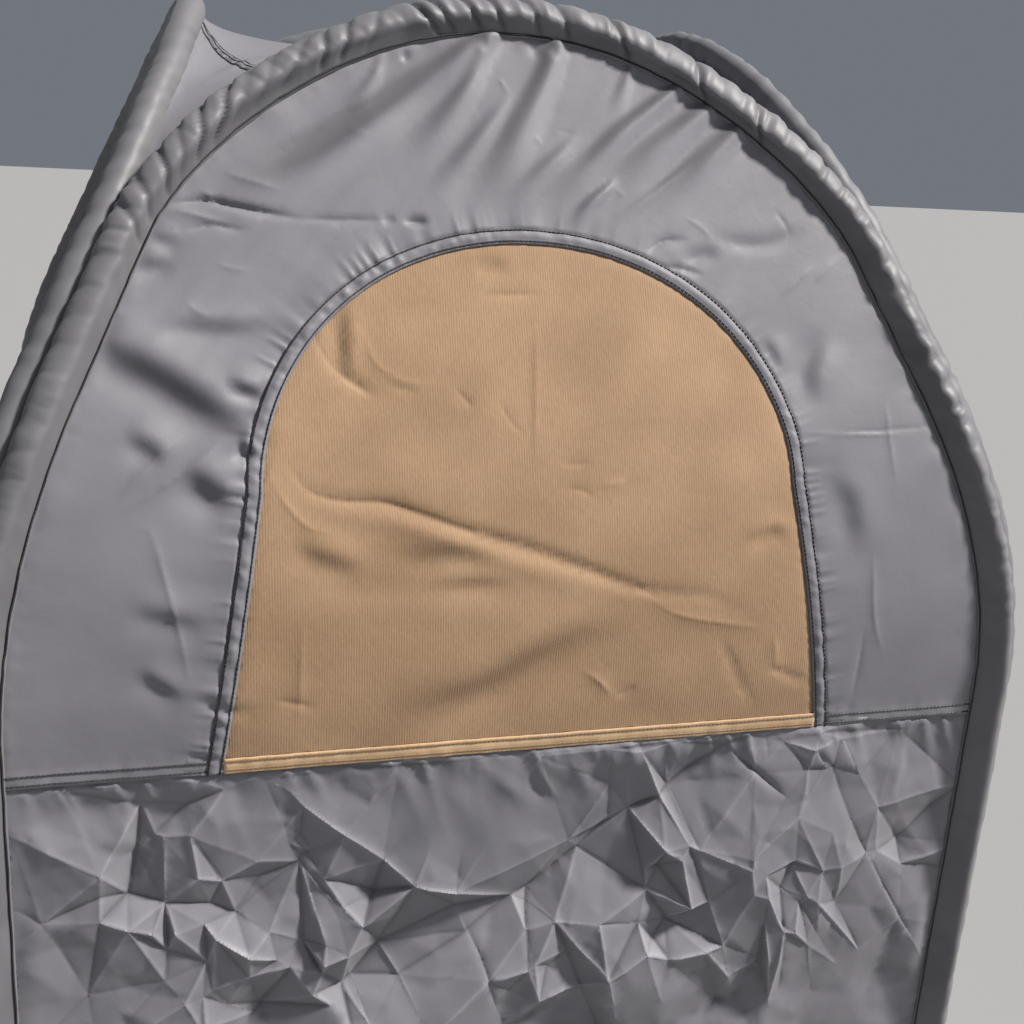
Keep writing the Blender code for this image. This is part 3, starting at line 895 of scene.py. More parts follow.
def sleeve_ruffle(line, along, around, seed, calm):
    """How far gathered cloth stands off the sleeve's section: around runs 0 at the seam to 1 back at the seam."""
    lit = eased((around - CREST_AT + 0.07) / 0.09) * eased((0.93 - around) / 0.20)
    slant = -1.5 * (around - CREST_AT)
    wander = 0.9 * ripple(along / 0.070, seed)
    large = domes(along / SCALLOP + wander + slant, seed + 1)
    facet = 1 - 2.2 * np.abs(bumps(along / 0.0150 - 2.6 * around + wander, around * 3.4, seed + 2))
    small = 1 - 2.0 * np.abs(bumps(along / 0.0080 + 2.0 * around, around * 7.0, seed + 4))
    strength = (0.70 + 0.30 * ripple(along / 0.13, seed + 3)) * calm
    rolled = bumps(along / 0.060, around * 3.0, seed + 5) * eased(around / 0.10) * eased((0.93 - around) / 0.2)
    inner = 1 - 2.0 * np.abs(bumps(along / 0.030 + 3.0 * around, around * 2.0, seed + 6))
    inner = inner * eased(around / 0.10) * (1 - lit)
    proud = lit * strength * (0.0032 * large + 0.0017 * facet + 0.0007 * small) + 0.0011 * rolled + 0.0007 * inner
    edge = np.exp(-((around - CREST_AT) / 0.085) ** 2)
    steep = np.exp(-((around - CREST_AT + 0.02) / 0.12) ** 2) * eased(around / 0.08)
    over = 0.006 * eased((line[:, 1] - 1.25) / 0.2) + 0.008 * np.exp(-((line[:, 0] - 0.24) / 0.12) ** 2)
    over -= 0.006 * eased((line[:, 0] - 0.36) / 0.06)
    return proud, 0.0050 * strength * ripple(along / 0.019 + wander, seed + 7) * edge - over * steep


def make_sleeve(side, calm, seed, cross_folds=()):
    """A hoop's sleeve with its thread. cross_folds are pinches across it: (place, depth, half width, slant)."""
    degrees = FACES[side]
    step, arch_step, around_count = SLEEVE_MESH[side]
    line, points, outward, facing = hoop_frames(step, arch_step)
    section = sleeve_section(around_count)
    count, rings = len(line), len(section)
    along = runs(line)
    along_grid = np.repeat(along, rings)
    around_grid = np.tile(np.arange(rings) / rings, count)
    out = np.tile(section[:, 0], count)
    proud = np.tile(section[:, 1], count)
    ahead = np.roll(section, -1, axis=0) - np.roll(section, 1, axis=0)
    away = np.tile(unit(np.stack([-ahead[:, 1], ahead[:, 0]], 1)), (count, 1))
    at = np.repeat(line, rings, axis=0)
    push, sway = sleeve_ruffle(at, along_grid, around_grid, seed, calm(at))
    # Painted shade and highlight: the inner flank below the crest, turned from the light, is painted darker, and
    # gathers that stand out are painted lighter and sunk ones darker.
    tone = -0.20 * eased((CREST_AT + 0.03 - around_grid) / 0.10) * eased(around_grid / 0.03)
    tone += np.clip(75 * push, -0.24, 0.16)
    for place_at, depth, width, skew in cross_folds:
        middle = along[np.argmin(np.hypot(*(line - place_at).T))]
        run = along_grid - middle - skew * (around_grid - 0.25)
        shape = np.exp(-(run / width) ** 2)
        fade = eased(around_grid / 0.12) * eased((0.8 - around_grid) / 0.3)
        push -= depth * shape * fade
        # painted shade in each pinch
        tone -= 100 * depth * fade * np.exp(-((run + 0.25 * width) / (0.7 * width)) ** 2)
    out = out + push * away[:, 0] + sway
    proud = proud + push * away[:, 1]
    corners = (np.repeat(points, rings, axis=0) + out[:, None] * np.repeat(outward, rings, axis=0)
               + proud[:, None] * np.repeat(facing, rings, axis=0))
    index = np.arange(count * rings).reshape(count, rings)
    ahead_ring = np.roll(index, -1, axis=0)
    faces = np.stack([index, ahead_ring, np.roll(ahead_ring, -1, axis=1), np.roll(index, -1, axis=1)], 2)
    way_round = line_length(np.vstack([section, section[:1]]))
    flat = np.stack([along_grid, around_grid * way_round], 1)
    obj = mesh_piece(f"{side}_sleeve", turn(corners, degrees), faces.reshape(-1, 4), flat, np.clip(tone, -0.60, 0.20))
    check = bmesh.new()
    check.from_mesh(obj.data)
    if check.calc_volume(signed=True) < 0:
        bmesh.ops.reverse_faces(check, faces=check.faces)
        check.to_mesh(obj.data)
    check.free()
    thicken(obj)
    finished(obj, "sleeve_polyester", "sleeve_polyester", f"hoop_sleeve_{side}")
    row = points + SLEEVE_ROW * outward + (0.0026 + 0.0004) * facing
    wobble = ripple(along / 0.012, seed + 9) * 0.0007
    row = row + wobble[:, None] * outward
    sewn_rows(f"{side}_sleeve_stitches", [(turn(row, degrees), True)], "black_thread", "sleeve_polyester",
              pitch=0.0046 if side == "front" else 0.0075, length=0.0042, thick=SLEEVE_THREAD)


# Outlines of the cloth pieces

LOW = WAIST_S + JOIN_GAP / 2
UNDERLAP = 0.006


def ring_outline(outer, inner):
    left = spaced(np.vstack([outer[-1], inner[-1]]), 0.004)[1:-1]
    right = spaced(np.vstack([inner[0], outer[0]]), 0.004)[1:-1]
    return np.vstack([outer, left, inner[::-1], right])


def wall_outline(step):
    """A lower wall's outline, and the line of its hoop from the left seam to the right one."""
    edge = hoop_inside(EDGE_IN_SLEEVE, LOW + UNDERLAP, False)
    across = spaced(np.array([edge[-1], edge[-1] * (-1, 1)]), step)[1:-1]
    return np.vstack([edge, across, edge[:0:-1] * (-1, 1)]), np.vstack([edge[::-1] * (-1, 1), edge])


def oblong(left, low, right, high):
    return np.array([(left, low), (right, low), (right, high), (left, high)])


def closed_below(outer):
    return np.vstack([outer, spaced(np.vstack([outer[-1], outer[0]]), 0.004)[1:-1]])


HOOP_EDGE = mirrored(hoop_inside(EDGE_IN_SLEEVE, LOW, True))
WINDOW_EDGE = mirrored(window_half(WAIST_Z + JOIN_GAP / 2))


def hem_end(row):
    """Where a row of the hem's thread ends beside the sleeve."""
    return np.interp(LOW + row, HOOP_EDGE[:200, 1], HOOP_EDGE[:200, 0]) - 0.006


def inside_window(points):
    """Whether points lie inside the window's outline."""
    half = window_half(WAIST_Z - 0.01)
    return (np.abs(points[:, 0]) < np.interp(points[:, 1], half[:, 1], half[:, 0])) & (points[:, 1] < half[-1, 1])


# Relief of the cloth pieces, in metres, as functions of (u, s)

FAN_MIDDLE = float(run_at(WINDOW_SPRING_Z))


def panel_relief(folds, seed):
    """Soft swells and folds of an upper panel with whatever is sewn in it, held flat at the hoop."""
    def relief(points):
        u, s = points[:, 0], points[:, 1]
        total = 0.0016 * bumps(u / 0.17 + 3, s / 0.17, seed) + 0.0007 * bumps(u / 0.06, s / 0.06, seed + 1)
        total += fold_relief(points, [fold for fold in folds if fold[0] not in PLEATS])
        across, down = 0.80 * u - 0.60 * s, 0.60 * u + 0.80 * s
        streaks = (0.0007 * bumps(across / 0.030, down / 0.22, seed + 7)
                   + 0.0004 * bumps(across / 0.013, down / 0.13, seed + 8))
        total += streaks * eased((s - FAN_MIDDLE) / 0.20)
        gap, along = near_outline(points, HOOP_EDGE)
        total *= eased(gap / 0.020)
        total += eased(gap / 0.006) * fold_relief(points, [fold for fold in folds if fold[0] in PLEATS])
        total += 0.0010 * np.exp(-gap / 0.012) * bumps(along / 0.010, gap / 0.02, seed + 2) * eased(gap / 0.005)
        total += 0.0014 * np.exp(-gap / 0.040) * bumps(along / 0.032, gap / 0.08, seed + 3) * eased(gap / 0.010)
        return total * (0.3 + 0.7 * eased((s - WAIST_S) / 0.035))
    return relief


def puckers(points, seed, strength):
    """Small gathers in the cloth outside a sewn band, as a height."""
    off, run = near_outline(points, WINDOW_EDGE)
    off = np.maximum(off - BAND_WIDTH, 0.0)
    force = strength(run / line_length(WINDOW_EDGE))
    ridges = 1 - 2.4 * np.abs(bumps(run / 0.0100, off / 0.09, seed))
    small = 0.0015 * np.exp(-off / 0.018) * ridges
    large = 0.0020 * np.exp(-off / 0.030) * bumps(run / 0.021, off / 0.06, seed + 1)
    return force * (small + large)


def with_hem(base, seed):
    """A panel's lower edge: folded up and sewn with two rows."""
    def relief(points):
        rise = points[:, 1] - WAIST_S
        hem = 0.0012 * (1 - eased((rise - 0.0150) / 0.0025))
        for row in HEM_ROWS:
            hem -= 0.0008 * np.exp(-((rise - row) / 0.0018) ** 2)
        hem += 0.0008 * np.exp(-(rise / 0.0012) ** 2)
        wave = 0.0006 * bumps(points[:, 0] / 0.011, rise / 0.02, seed) * (1 - eased((rise - 0.012) / 0.025))
        return base(points) + hem + wave
    return relief


def around_window(base, seed, strength):
    """The panel outside the band, tucked under it."""
    hemmed = with_hem(base, seed + 5)

    def relief(points):
        off = near_outline(points, WINDOW_EDGE)[0] - BAND_WIDTH
        tuck = 0.0016 * (1 - eased((off + 0.001) / 0.004))
        return hemmed(points) + puckers(points, seed, strength) * eased((off + 0.002) / 0.004) - tuck
    return relief


def band_relief(base, seed, strength):
    """A sewn band with a row of stitches near each edge, pinched and puckered between them."""
    def relief(points):
        off, run = near_outline(points, WINDOW_EDGE)
        share = (off - ROW_INNER) / (ROW_OUTER - ROW_INNER)
        between = np.sin(np.clip(share, 0, 1) * math.pi)
        force = strength(run / line_length(WINDOW_EDGE))
        height = 0.0008 + 0.0016 * between + 0.0005 * np.sin(np.clip(off / ROW_INNER, 0, 1) * math.pi)
        height += force * between * 0.0017 * bumps(run / 0.0075, off / 0.05, seed + 4)
        height += force * 0.0003 * bumps(run / 0.006, off / 0.006, seed + 6)
        return base(points) + height + 0.5 * puckers(points, seed, strength) * eased(share)
    return relief


def window_relief(base):
    def relief(points):
        off = near_outline(points, WINDOW_EDGE)[0] * np.where(inside_window(points), 1, -1)
        return base(points) - 0.0014 * (1 - eased((off + 0.001) / 0.006))
    return relief


def sill_relief(base, seed):
    def relief(points):
        rise = points[:, 1] - WAIST_S
        height = 0.0015 - 0.0008 * np.exp(-((rise - HEM_ROWS[0]) / 0.0018) ** 2)
        height -= 0.0008 * np.exp(-((rise - HEM_ROWS[1]) / 0.0018) ** 2) - 0.0008 * np.exp(-(rise / 0.0012) ** 2)
        return base(points) + height + 0.0005 * bumps(points[:, 0] / 0.012, rise / 0.02, seed)
    return relief


# Crumpled cloth: flat facets between creases

HAIR = 1e-6


def facet_area(a, b, c):
    """Twice a facet's area."""
    return (b[0] - a[0]) * (c[1] - a[1]) - (c[0] - a[0]) * (b[1] - a[1])


def facet_shares(points, a, b, c):
    """How near each point is to a facet's second and third corner, as shares of 1."""
    rel, area = points - a, facet_area(a, b, c)
    return ((rel[:, 0] * (c[1] - a[1]) - rel[:, 1] * (c[0] - a[0])) / area,
            (rel[:, 1] * (b[0] - a[0]) - rel[:, 0] * (b[1] - a[1])) / area)


def crumple_net(low, high, gap, height, seed, creases=(), leans=(), known=None):
    """Corners with heights, and triangles between them, from given creases and even random ones.

    leans are (point, slope towards the light); known is the box of the given creases, which holds no random ones.
    """
    rng = np.random.default_rng(seed)
    corners, edges = [], []
    for crease in creases:
        last = None
        for point in crease:
            match = [i for i, c in enumerate(corners) if np.hypot(*(c - point)) < 0.006]
            number = match[0] if match else len(corners)
            if not match:
                corners.append(point)
            if last is not None and last != number:
                edges.append((last, number))
            last = number
    given = np.array(corners)
    heights = [0.0] * len(corners)
    for point in hexes(low - gap, high + gap, gap, seed):
        point = point + rng.uniform(-0.3, 0.3, 2) * gap
        free = known is None or not (np.all(point > known[0]) and np.all(point < known[1]))
        if free and (not len(given) or np.min(np.linalg.norm(given - point, axis=1)) > gap * 0.62):
            corners.append(point)
            heights.append(float(rng.choice((-1, 1)) * rng.uniform(0.3, 1.0) * height))
    result = delaunay_2d_cdt([Vector(c) for c in corners], edges, [], 0, 1e-6)
    net = np.array([tuple(v) for v in result[0]])
    faces = np.array([f for f in result[2] if len(f) == 3])
    rise = np.array([heights[origin[0]] if len(origin) and origin[0] < len(heights) else 0.0 for origin in result[3]])
    random = np.array([len(origin) > 0 and origin[0] >= len(given) for origin in result[3]])
    if len(leans):
        rise = leaning(net, faces, rise, random, leans)
    return net, rise, faces


def leaning(net, faces, rise, random, leans, held=25.0, loose=0.8, level=0.12):
    """Heights of a net's corners that make its facets lean as given, with the random ones kept."""
    rows, sums = [], []
    lit = LIT_SIDE / np.linalg.norm(LIT_SIDE)
    places = np.array([place for place, slope in leans])
    for face in faces:
        a, b, c = net[face]
        area = facet_area(a, b, c)
        if abs(area) < 1e-9:
            continue
        slope_x = np.array((b[1] - c[1], c[1] - a[1], a[1] - b[1])) / area
        slope_y = np.array((c[0] - b[0], a[0] - c[0], b[0] - a[0])) / area
        wb, wc = facet_shares(places, a, b, c)
        hit = np.flatnonzero((wb >= 0) & (wc >= 0) & (wb + wc <= 1))
        towards = -(slope_x * lit[0] + slope_y * lit[1])
        beside_it = slope_x * lit[1] - slope_y * lit[0]
        target = float(np.mean([leans[i][1] for i in hit])) if len(hit) else 0.0
        for weights, value, weight in ((towards, target, 1.0 if len(hit) else level), (beside_it, 0.0, level)):
            row = np.zeros(len(net))
            row[face] = weights * weight
            rows.append(row)
            sums.append(value * weight)
    for number, known_height in enumerate(rise):
        row = np.zeros(len(net))
        row[number] = held if random[number] else loose
        rows.append(row)
        sums.append(known_height * row[number])
    return np.clip(np.linalg.lstsq(np.array(rows), np.array(sums), rcond=None)[0], -0.022, 0.022)


def net_height(points, net):
    corners, heights, faces = net
    total = np.zeros(len(points))
    for a, b, c in faces:
        facet = corners[[a, b, c]]
        close = boxed(points, facet.min(0) - HAIR, facet.max(0) + HAIR)
        if not len(close):
            continue
        wb, wc = facet_shares(points[close], *facet)
        inside = (wb > -HAIR) & (wc > -HAIR) & (wb + wc < 1 + HAIR)
        total[close[inside]] = (heights[a] * (1 - wb - wc) + heights[b] * wb + heights[c] * wc)[inside]
    return total


def net_edges(net):
    """A net's edges with how much the cloth turns at each: above 0 on a ridge, below 0 in a valley."""
    corners, heights, faces = net
    sides = {}
    for face in faces:
        a, b, c = (np.array((*corners[i], heights[i])) for i in face)
        normal = np.cross(b - a, c - a)
        for pair, other in (((0, 1), 2), ((1, 2), 0), ((2, 0), 1)):
            start, end, away = (corners[face[i]] for i in (*pair, other))
            ahead = (end - start) / np.linalg.norm(end - start)
            across = away - start - ((away - start) @ ahead) * ahead
            fall = (normal[:2] / normal[2]) @ (across / np.linalg.norm(across))
            sides.setdefault(tuple(sorted((face[pair[0]], face[pair[1]]))), []).append(fall)
    return [(corners[a], corners[b], sum(falls)) for (a, b), falls in sorted(sides.items()) if len(falls) == 2]


def net_lines(net, low, high, step=0.0045, least=0.05):
    """The edges along which a net's cloth turns by more than a little."""
    return [spaced(np.array([a, b]), step) for a, b, bend in net_edges(net)
            if abs(bend) > least and np.all((a + b) / 2 > low) and np.all((a + b) / 2 < high)]


def pinched(points, net, sharp, reach=0.0028, end=0.007):
    """The pinch that stays in cloth along the edges of a net."""
    total = np.zeros(len(points))
    for a, b, bend in net_edges(net):
        close = boxed(points, np.minimum(a, b) - 5 * reach, np.maximum(a, b) + 5 * reach)
        if abs(bend) < 0.03 or not len(close):
            continue
        distance, along, side = near_line(points[close], np.array([a, b]))
        inner = np.minimum(along, np.linalg.norm(b - a) - along)
        total[close] += np.clip(bend, -0.5, 0.5) * np.exp(-distance / reach) * (0.4 + 0.6 * eased(inner / end))
    return sharp * total


def soft_share(points, soft):
    """1 in the middle of an area where a wall hangs in soft folds, 0 outside it; soft is (middle, half sizes)."""
    if soft is None:
        return np.zeros(len(points))
    return 1 - eased(2 * np.hypot(*((points - soft[0]) / soft[1]).T) - 1)


def crease_painted_shade(net, soft=None):
    """Painted highlight and shade on crumpled cloth: it is painted paler along a ridge and darker in a valley, and
    darker on a facet turned from the light.
    """
    ahead = 0.002 * LIT_SIDE

    def tone(points):
        fall = (net_height(points - ahead, net) - net_height(points + ahead, net)) / 0.004
        total = 1.1 * pinched(points, net, 1.0, 0.0018) + 0.22 * np.clip(fall, -0.6, 0.6)
        return np.clip(total, -0.35, 0.42) * (1 - soft_share(points, soft))
    return tone


def near_lines(lines, reach):
    """A test for points that lie close to any of some lines."""
    dense = np.vstack(lines)
    return lambda points: close_points(points, dense, reach)


GATHER_HEIGHT = 0.0022    # of the gathers under the waist seam


def wall_relief(nets, seed, edge, folds=(), soft=None):
    """A hanging wall: crumpled facets, gathers under the seam above, and its top tucked behind the hem."""
    def relief(points):
        u, s = points[:, 0], points[:, 1]
        total = 0.003 * bumps(u / 0.22, s / 0.30, seed) + 0.0006 * bumps(u / 0.03, s / 0.03, seed + 1)
        share = soft_share(points, soft)
        middle = share > 0
        for net in nets:
            height = net_height(points, net)
            if middle.any():
                turns = np.arange(7) * 2 * math.pi / 7
                around = [net_height(points[middle] + size * np.array((math.cos(t), math.sin(t))), net)
                          for t in turns for size in (0.011, 0.020)]
                height[middle] += share[middle] * (np.mean(around, axis=0) - height[middle])
            total += 1.12 * height + pinched(points, net, 0.0032) * (1 - share)
        below = np.maximum(WAIST_S - s, 0.0)
        total += fold_relief(points, folds)
        total *= 0.25 + 0.75 * eased((below - 0.004) / 0.045)
        slant = u - 0.35 * below
        large = 1 - 2.0 * np.abs(bumps(slant / 0.024, below / 0.09, seed + 2))
        small = 1 - 2.2 * np.abs(bumps(slant / 0.010, below / 0.03, seed + 3))
        gathers = 1.3 * np.exp(-below / 0.040) * large + 0.7 * np.exp(-below / 0.013) * small
        total += GATHER_HEIGHT * eased(below / 0.004) * gathers
        gap = near_outline(points, edge)[0]
        total = total * eased(gap / 0.030) + 0.001 * np.exp(-gap / 0.02) * bumps(s / 0.02, u / 0.02, seed + 4)
        return total - 0.0020 * (1 - eased(below / 0.0035))
    return relief


# Folds of the photographed face: points are pixels of the photograph

FRONT_FOLDS = [
    # fan of soft folds from the sleeve down to the window
    ("fan", 4.6, 17, [484, 30, 450, 58, 420, 77, 395, 95, 360, 120, 320, 147, 285, 168, 250, 184, 218, 202, 190, 220]),
    ("ridge", 1.2, 7, [480, 28, 452, 46, 425, 64, 395, 82, 365, 98, 340, 108, 300, 130, 250, 154, 200, 178]),
    ("swell", 1.8, 6, [384, 48, 378, 60, 372, 75, 355, 95, 335, 108]),
    ("fan", 3.0, 10, [496, 20, 484, 42, 475, 62, 463, 85, 447, 108, 432, 126, 418, 142, 398, 168]),
    ("swell", 2.4, 9, [512, 84, 500, 104, 482, 128, 465, 150, 448, 170, 432, 190, 416, 208]),
    ("fan", 3.8, 13, [562, 22, 552, 44, 543, 70, 530, 98, 515, 125, 502, 150, 490, 175, 478, 206]),
    ("swell", 2.2, 8, [578, 128, 562, 148, 540, 168, 520, 186, 503, 206]),
    ("fan", 4.2, 10, [700, 68, 670, 90, 645, 109, 620, 128, 598, 150, 575, 172, 555, 192, 535, 217]),
    ("fan", 4.0, 13, [726, 90, 699, 110, 672, 130, 648, 148, 625, 168, 603, 190]),
    ("fan", 4.2, 14, [748, 112, 727, 134, 705, 155, 688, 172, 668, 187, 642, 207]),
    ("fan", 1.8, 6, [636, 52, 627, 72, 617, 95, 606, 116]),
    ("swell", 3.0, 6, [616, 172, 609, 184, 597, 194, 584, 206, 570, 226, 566, 232]),
    ("swell", 1.6, 5, [700, 152, 680, 170, 655, 190, 625, 212, 607, 228, 602, 238]),
    ("groove", 3.4, 20, [470, 52, 430, 76, 392, 98, 352, 122, 310, 147, 268, 170, 228, 192]),
    ("groove", 1.6, 4, [407, 48, 404, 62]),
    ("groove", 1.4, 5, [484, 38, 481, 54]),
    ("groove", 1.6, 5, [536, 41, 535, 60]),
    ("groove", 1.6, 5, [555, 44, 552, 62]),
    ("crease", 0.5, 2.0, [497, 75, 510, 98]),
    ("slit", 0.5, 2.5, [557, 132, 577, 133]),
    ("crease", 0.5, 2.5, [533, 134, 542, 147]),
    ("crease", 0.4, 2.5, [611, 185, 627, 199]),
    ("crease", 0.2, 2.5, [603, 178, 606, 193]),
    ("groove", 1.4, 5, [403, 221, 430, 221]),
    ("groove", 1.2, 5, [380, 220, 397, 220]),
    # left shoulder
    ("groove", 3.6, 3.6, [150, 206, 180, 203, 209, 200, 226, 204, 263, 212, 290, 217, 312, 221]),
    ("groove", 1.6, 3.6, [290, 218, 330, 220, 360, 220, 396, 221]),
    ("groove", 1.8, 3.6, [400, 221, 412, 222, 430, 222]),
    ("crease", 1.6, 3.5, [160, 209, 190, 214, 218, 222, 240, 229]),
    ("slit", 2.6, 4.0, [180, 233, 200, 227, 216, 225, 235, 229, 254, 231]),
    ("crease", 1.3, 4.0, [218, 170, 250, 181, 284, 191]),
    ("crease", 1.0, 3.0, [198, 188, 210, 196, 222, 204]),
    ("crease", 0.5, 2.5, [345, 130, 358, 132, 369, 137]),
    ("band", 2.2, 7, [118, 265, 148, 263, 176, 258]),
    ("band", 1.6, 6, [140, 236, 184, 239]),
    ("crease", 0.6, 2.5, [211, 260, 226, 267, 253, 271]),
    # beside the window, left
    ("band", 2.0, 9, [144, 331, 182, 324, 235, 326, 290, 318]),
    ("crease", 0.7, 3.0, [182, 299, 196, 311, 214, 317]),
    ("band", 5.0, 16, [40, 330, 84, 342, 128, 361, 164, 379, 199, 401, 240, 425, 290, 452]),
    ("band", 3.0, 7, [222, 377, 242, 388, 272, 395]),
    ("band", 2.6, 6, [235, 442, 258, 453]),
    ("crease", 1.6, 4.0, [112, 504, 128, 488, 153, 463, 190, 427]),
    ("crease", 1.4, 3.5, [112, 520, 128, 510, 187, 470, 215, 447, 236, 428]),
    ("band", 4.0, 13, [178, 466, 199, 481, 239, 508]),
    ("band", 2.4, 9, [120, 436, 150, 448, 166, 470]),
    ("band", 1.8, 10, [120, 610, 160, 616, 215, 628]),
    ("crease", 1.3, 4.0, [126, 538, 148, 529, 166, 584, 183, 650, 192, 702]),
    ("groove", 1.8, 5, [193, 702, 229, 712, 262, 711]),
    ("band", 1.8, 8, [132, 668, 168, 690, 190, 700]),
    # beside the window, right
    ("groove", 0.6, 2.5, [773, 207, 784, 222, 793, 239]),
    ("crease", 0.5, 2.5, [680, 215, 703, 229, 715, 245]),
    ("groove", 1.7, 9, [704, 232, 735, 243, 765, 244, 795, 234, 816, 218]),
    ("slit", 2.2, 4, [644, 256, 655, 246, 668, 240, 692, 240]),
    ("slit", 2.2, 4, [655, 267, 680, 268, 706, 276]),
    ("groove", 2.2, 8, [680, 262, 700, 256, 722, 251]),
    ("crease", 0.9, 4, [820, 262, 800, 278, 776, 300]),
    ("crease", 0.8, 4, [838, 256, 824, 272, 812, 284]),
    ("crease", 0.9, 2.0, [792, 433, 840, 434, 910, 435]),
    ("slit", 0.7, 2.0, [800, 436, 896, 429, 960, 424]),
    ("crease", 0.9, 3.0, [885, 390, 890, 440, 897, 495]),
    ("crease", 1.1, 3.0, [873, 540, 874, 615, 885, 664]),
    ("slit", 1.0, 3.0, [865, 620, 860, 660, 850, 706]),
    ("band", 1.0, 7, [762, 334, 775, 352, 784, 374]),
    ("band", 2.0, 14, [820, 470, 850, 500, 856, 560]),
    ("band", 2.0, 12, [832, 330, 812, 372, 818, 410]),
    # window cloth
    ("crease", 0.7, 3.5, [536, 306, 536, 380, 534, 486]),
    ("slit", 0.5, 6.0, [531, 310, 530, 480]),
    ("band", 2.4, 7, [350, 300, 345, 330, 346, 369, 356, 384]),
    ("groove", 1.8, 5, [337, 370, 356, 384, 378, 398]),
    ("crease", 0.7, 3.0, [383, 376, 402, 381, 424, 384]),
    ("slit", 0.8, 3.5, [384, 386, 422, 393]),
    ("slit", 1.2, 4.0, [453, 387, 464, 398, 475, 412]),
    ("groove", 1.8, 9, [470, 262, 490, 268, 513, 266]),
    ("groove", 0.9, 4, [478, 296, 548, 294]),
    ("slit", 1.0, 3.5, [557, 465, 596, 463]),
    ("slit", 1.0, 3.5, [560, 492, 580, 490, 597, 500]),
    ("crease", 0.8, 3.5, [595, 488, 630, 480]),
    ("groove", 2.8, 6, [283, 457, 303, 480, 322, 497, 350, 502, 383, 503, 412, 513, 460, 529, 527, 549, 590, 571, 640,
        589, 680, 594, 713, 598, 772, 629]),
    ("slit", 1.5, 4.4, [278, 452, 292, 470, 308, 491, 340, 501, 383, 503, 424, 514, 470, 531]),
    ("crease", 0.8, 3.5, [303, 612, 301, 670, 299, 734]),
    ("crease", 0.9, 3.5, [268, 470, 283, 500, 310, 528, 348, 536]),
    ("slit", 0.9, 3.5, [310, 316, 322, 352, 344, 378, 371, 397]),
    ("crease", 0.8, 3.0, [360, 330, 378, 366, 408, 380]),
    ("slit", 0.7, 3.0, [496, 395, 510, 420, 528, 440]),
    ("groove", 1.0, 16, [250, 597, 330, 590, 410, 588, 500, 592]),
    ("groove", 1.0, 12, [352, 262, 330, 300, 318, 330]),
    ("ridge", 1.5, 9, [300, 490, 350, 516, 412, 527, 520, 566, 620, 600]),
    ("crease", 1.2, 4, [640, 592, 677, 614, 732, 624, 774, 629]),
    ("band", 2.0, 12, [384, 556, 440, 552, 497, 549]),
    ("band", 1.4, 8, [421, 587, 470, 582, 527, 582]),
    ("band", 3.2, 18, [376, 722, 440, 700, 494, 678, 540, 652, 590, 630, 645, 620]),
    ("crease", 1.2, 4, [582, 670, 600, 682, 614, 700]),
    ("slit", 1.2, 4, [614, 700, 640, 684]),
    ("slit", 1.5, 4.5, [712, 630, 728, 655, 740, 684, 762, 716]),
    ("crease", 0.9, 4, [774, 630, 776, 674]),
    ("groove", 1.3, 5, [764, 667, 790, 676, 815, 686]),
    ("band", 1.8, 6, [742, 546, 760, 535, 776, 529, 793, 541]),
    ("slit", 1.2, 4, [270, 700, 320, 708]),
    ("band", 2.0, 10, [288, 540, 330, 560, 372, 566]),
]

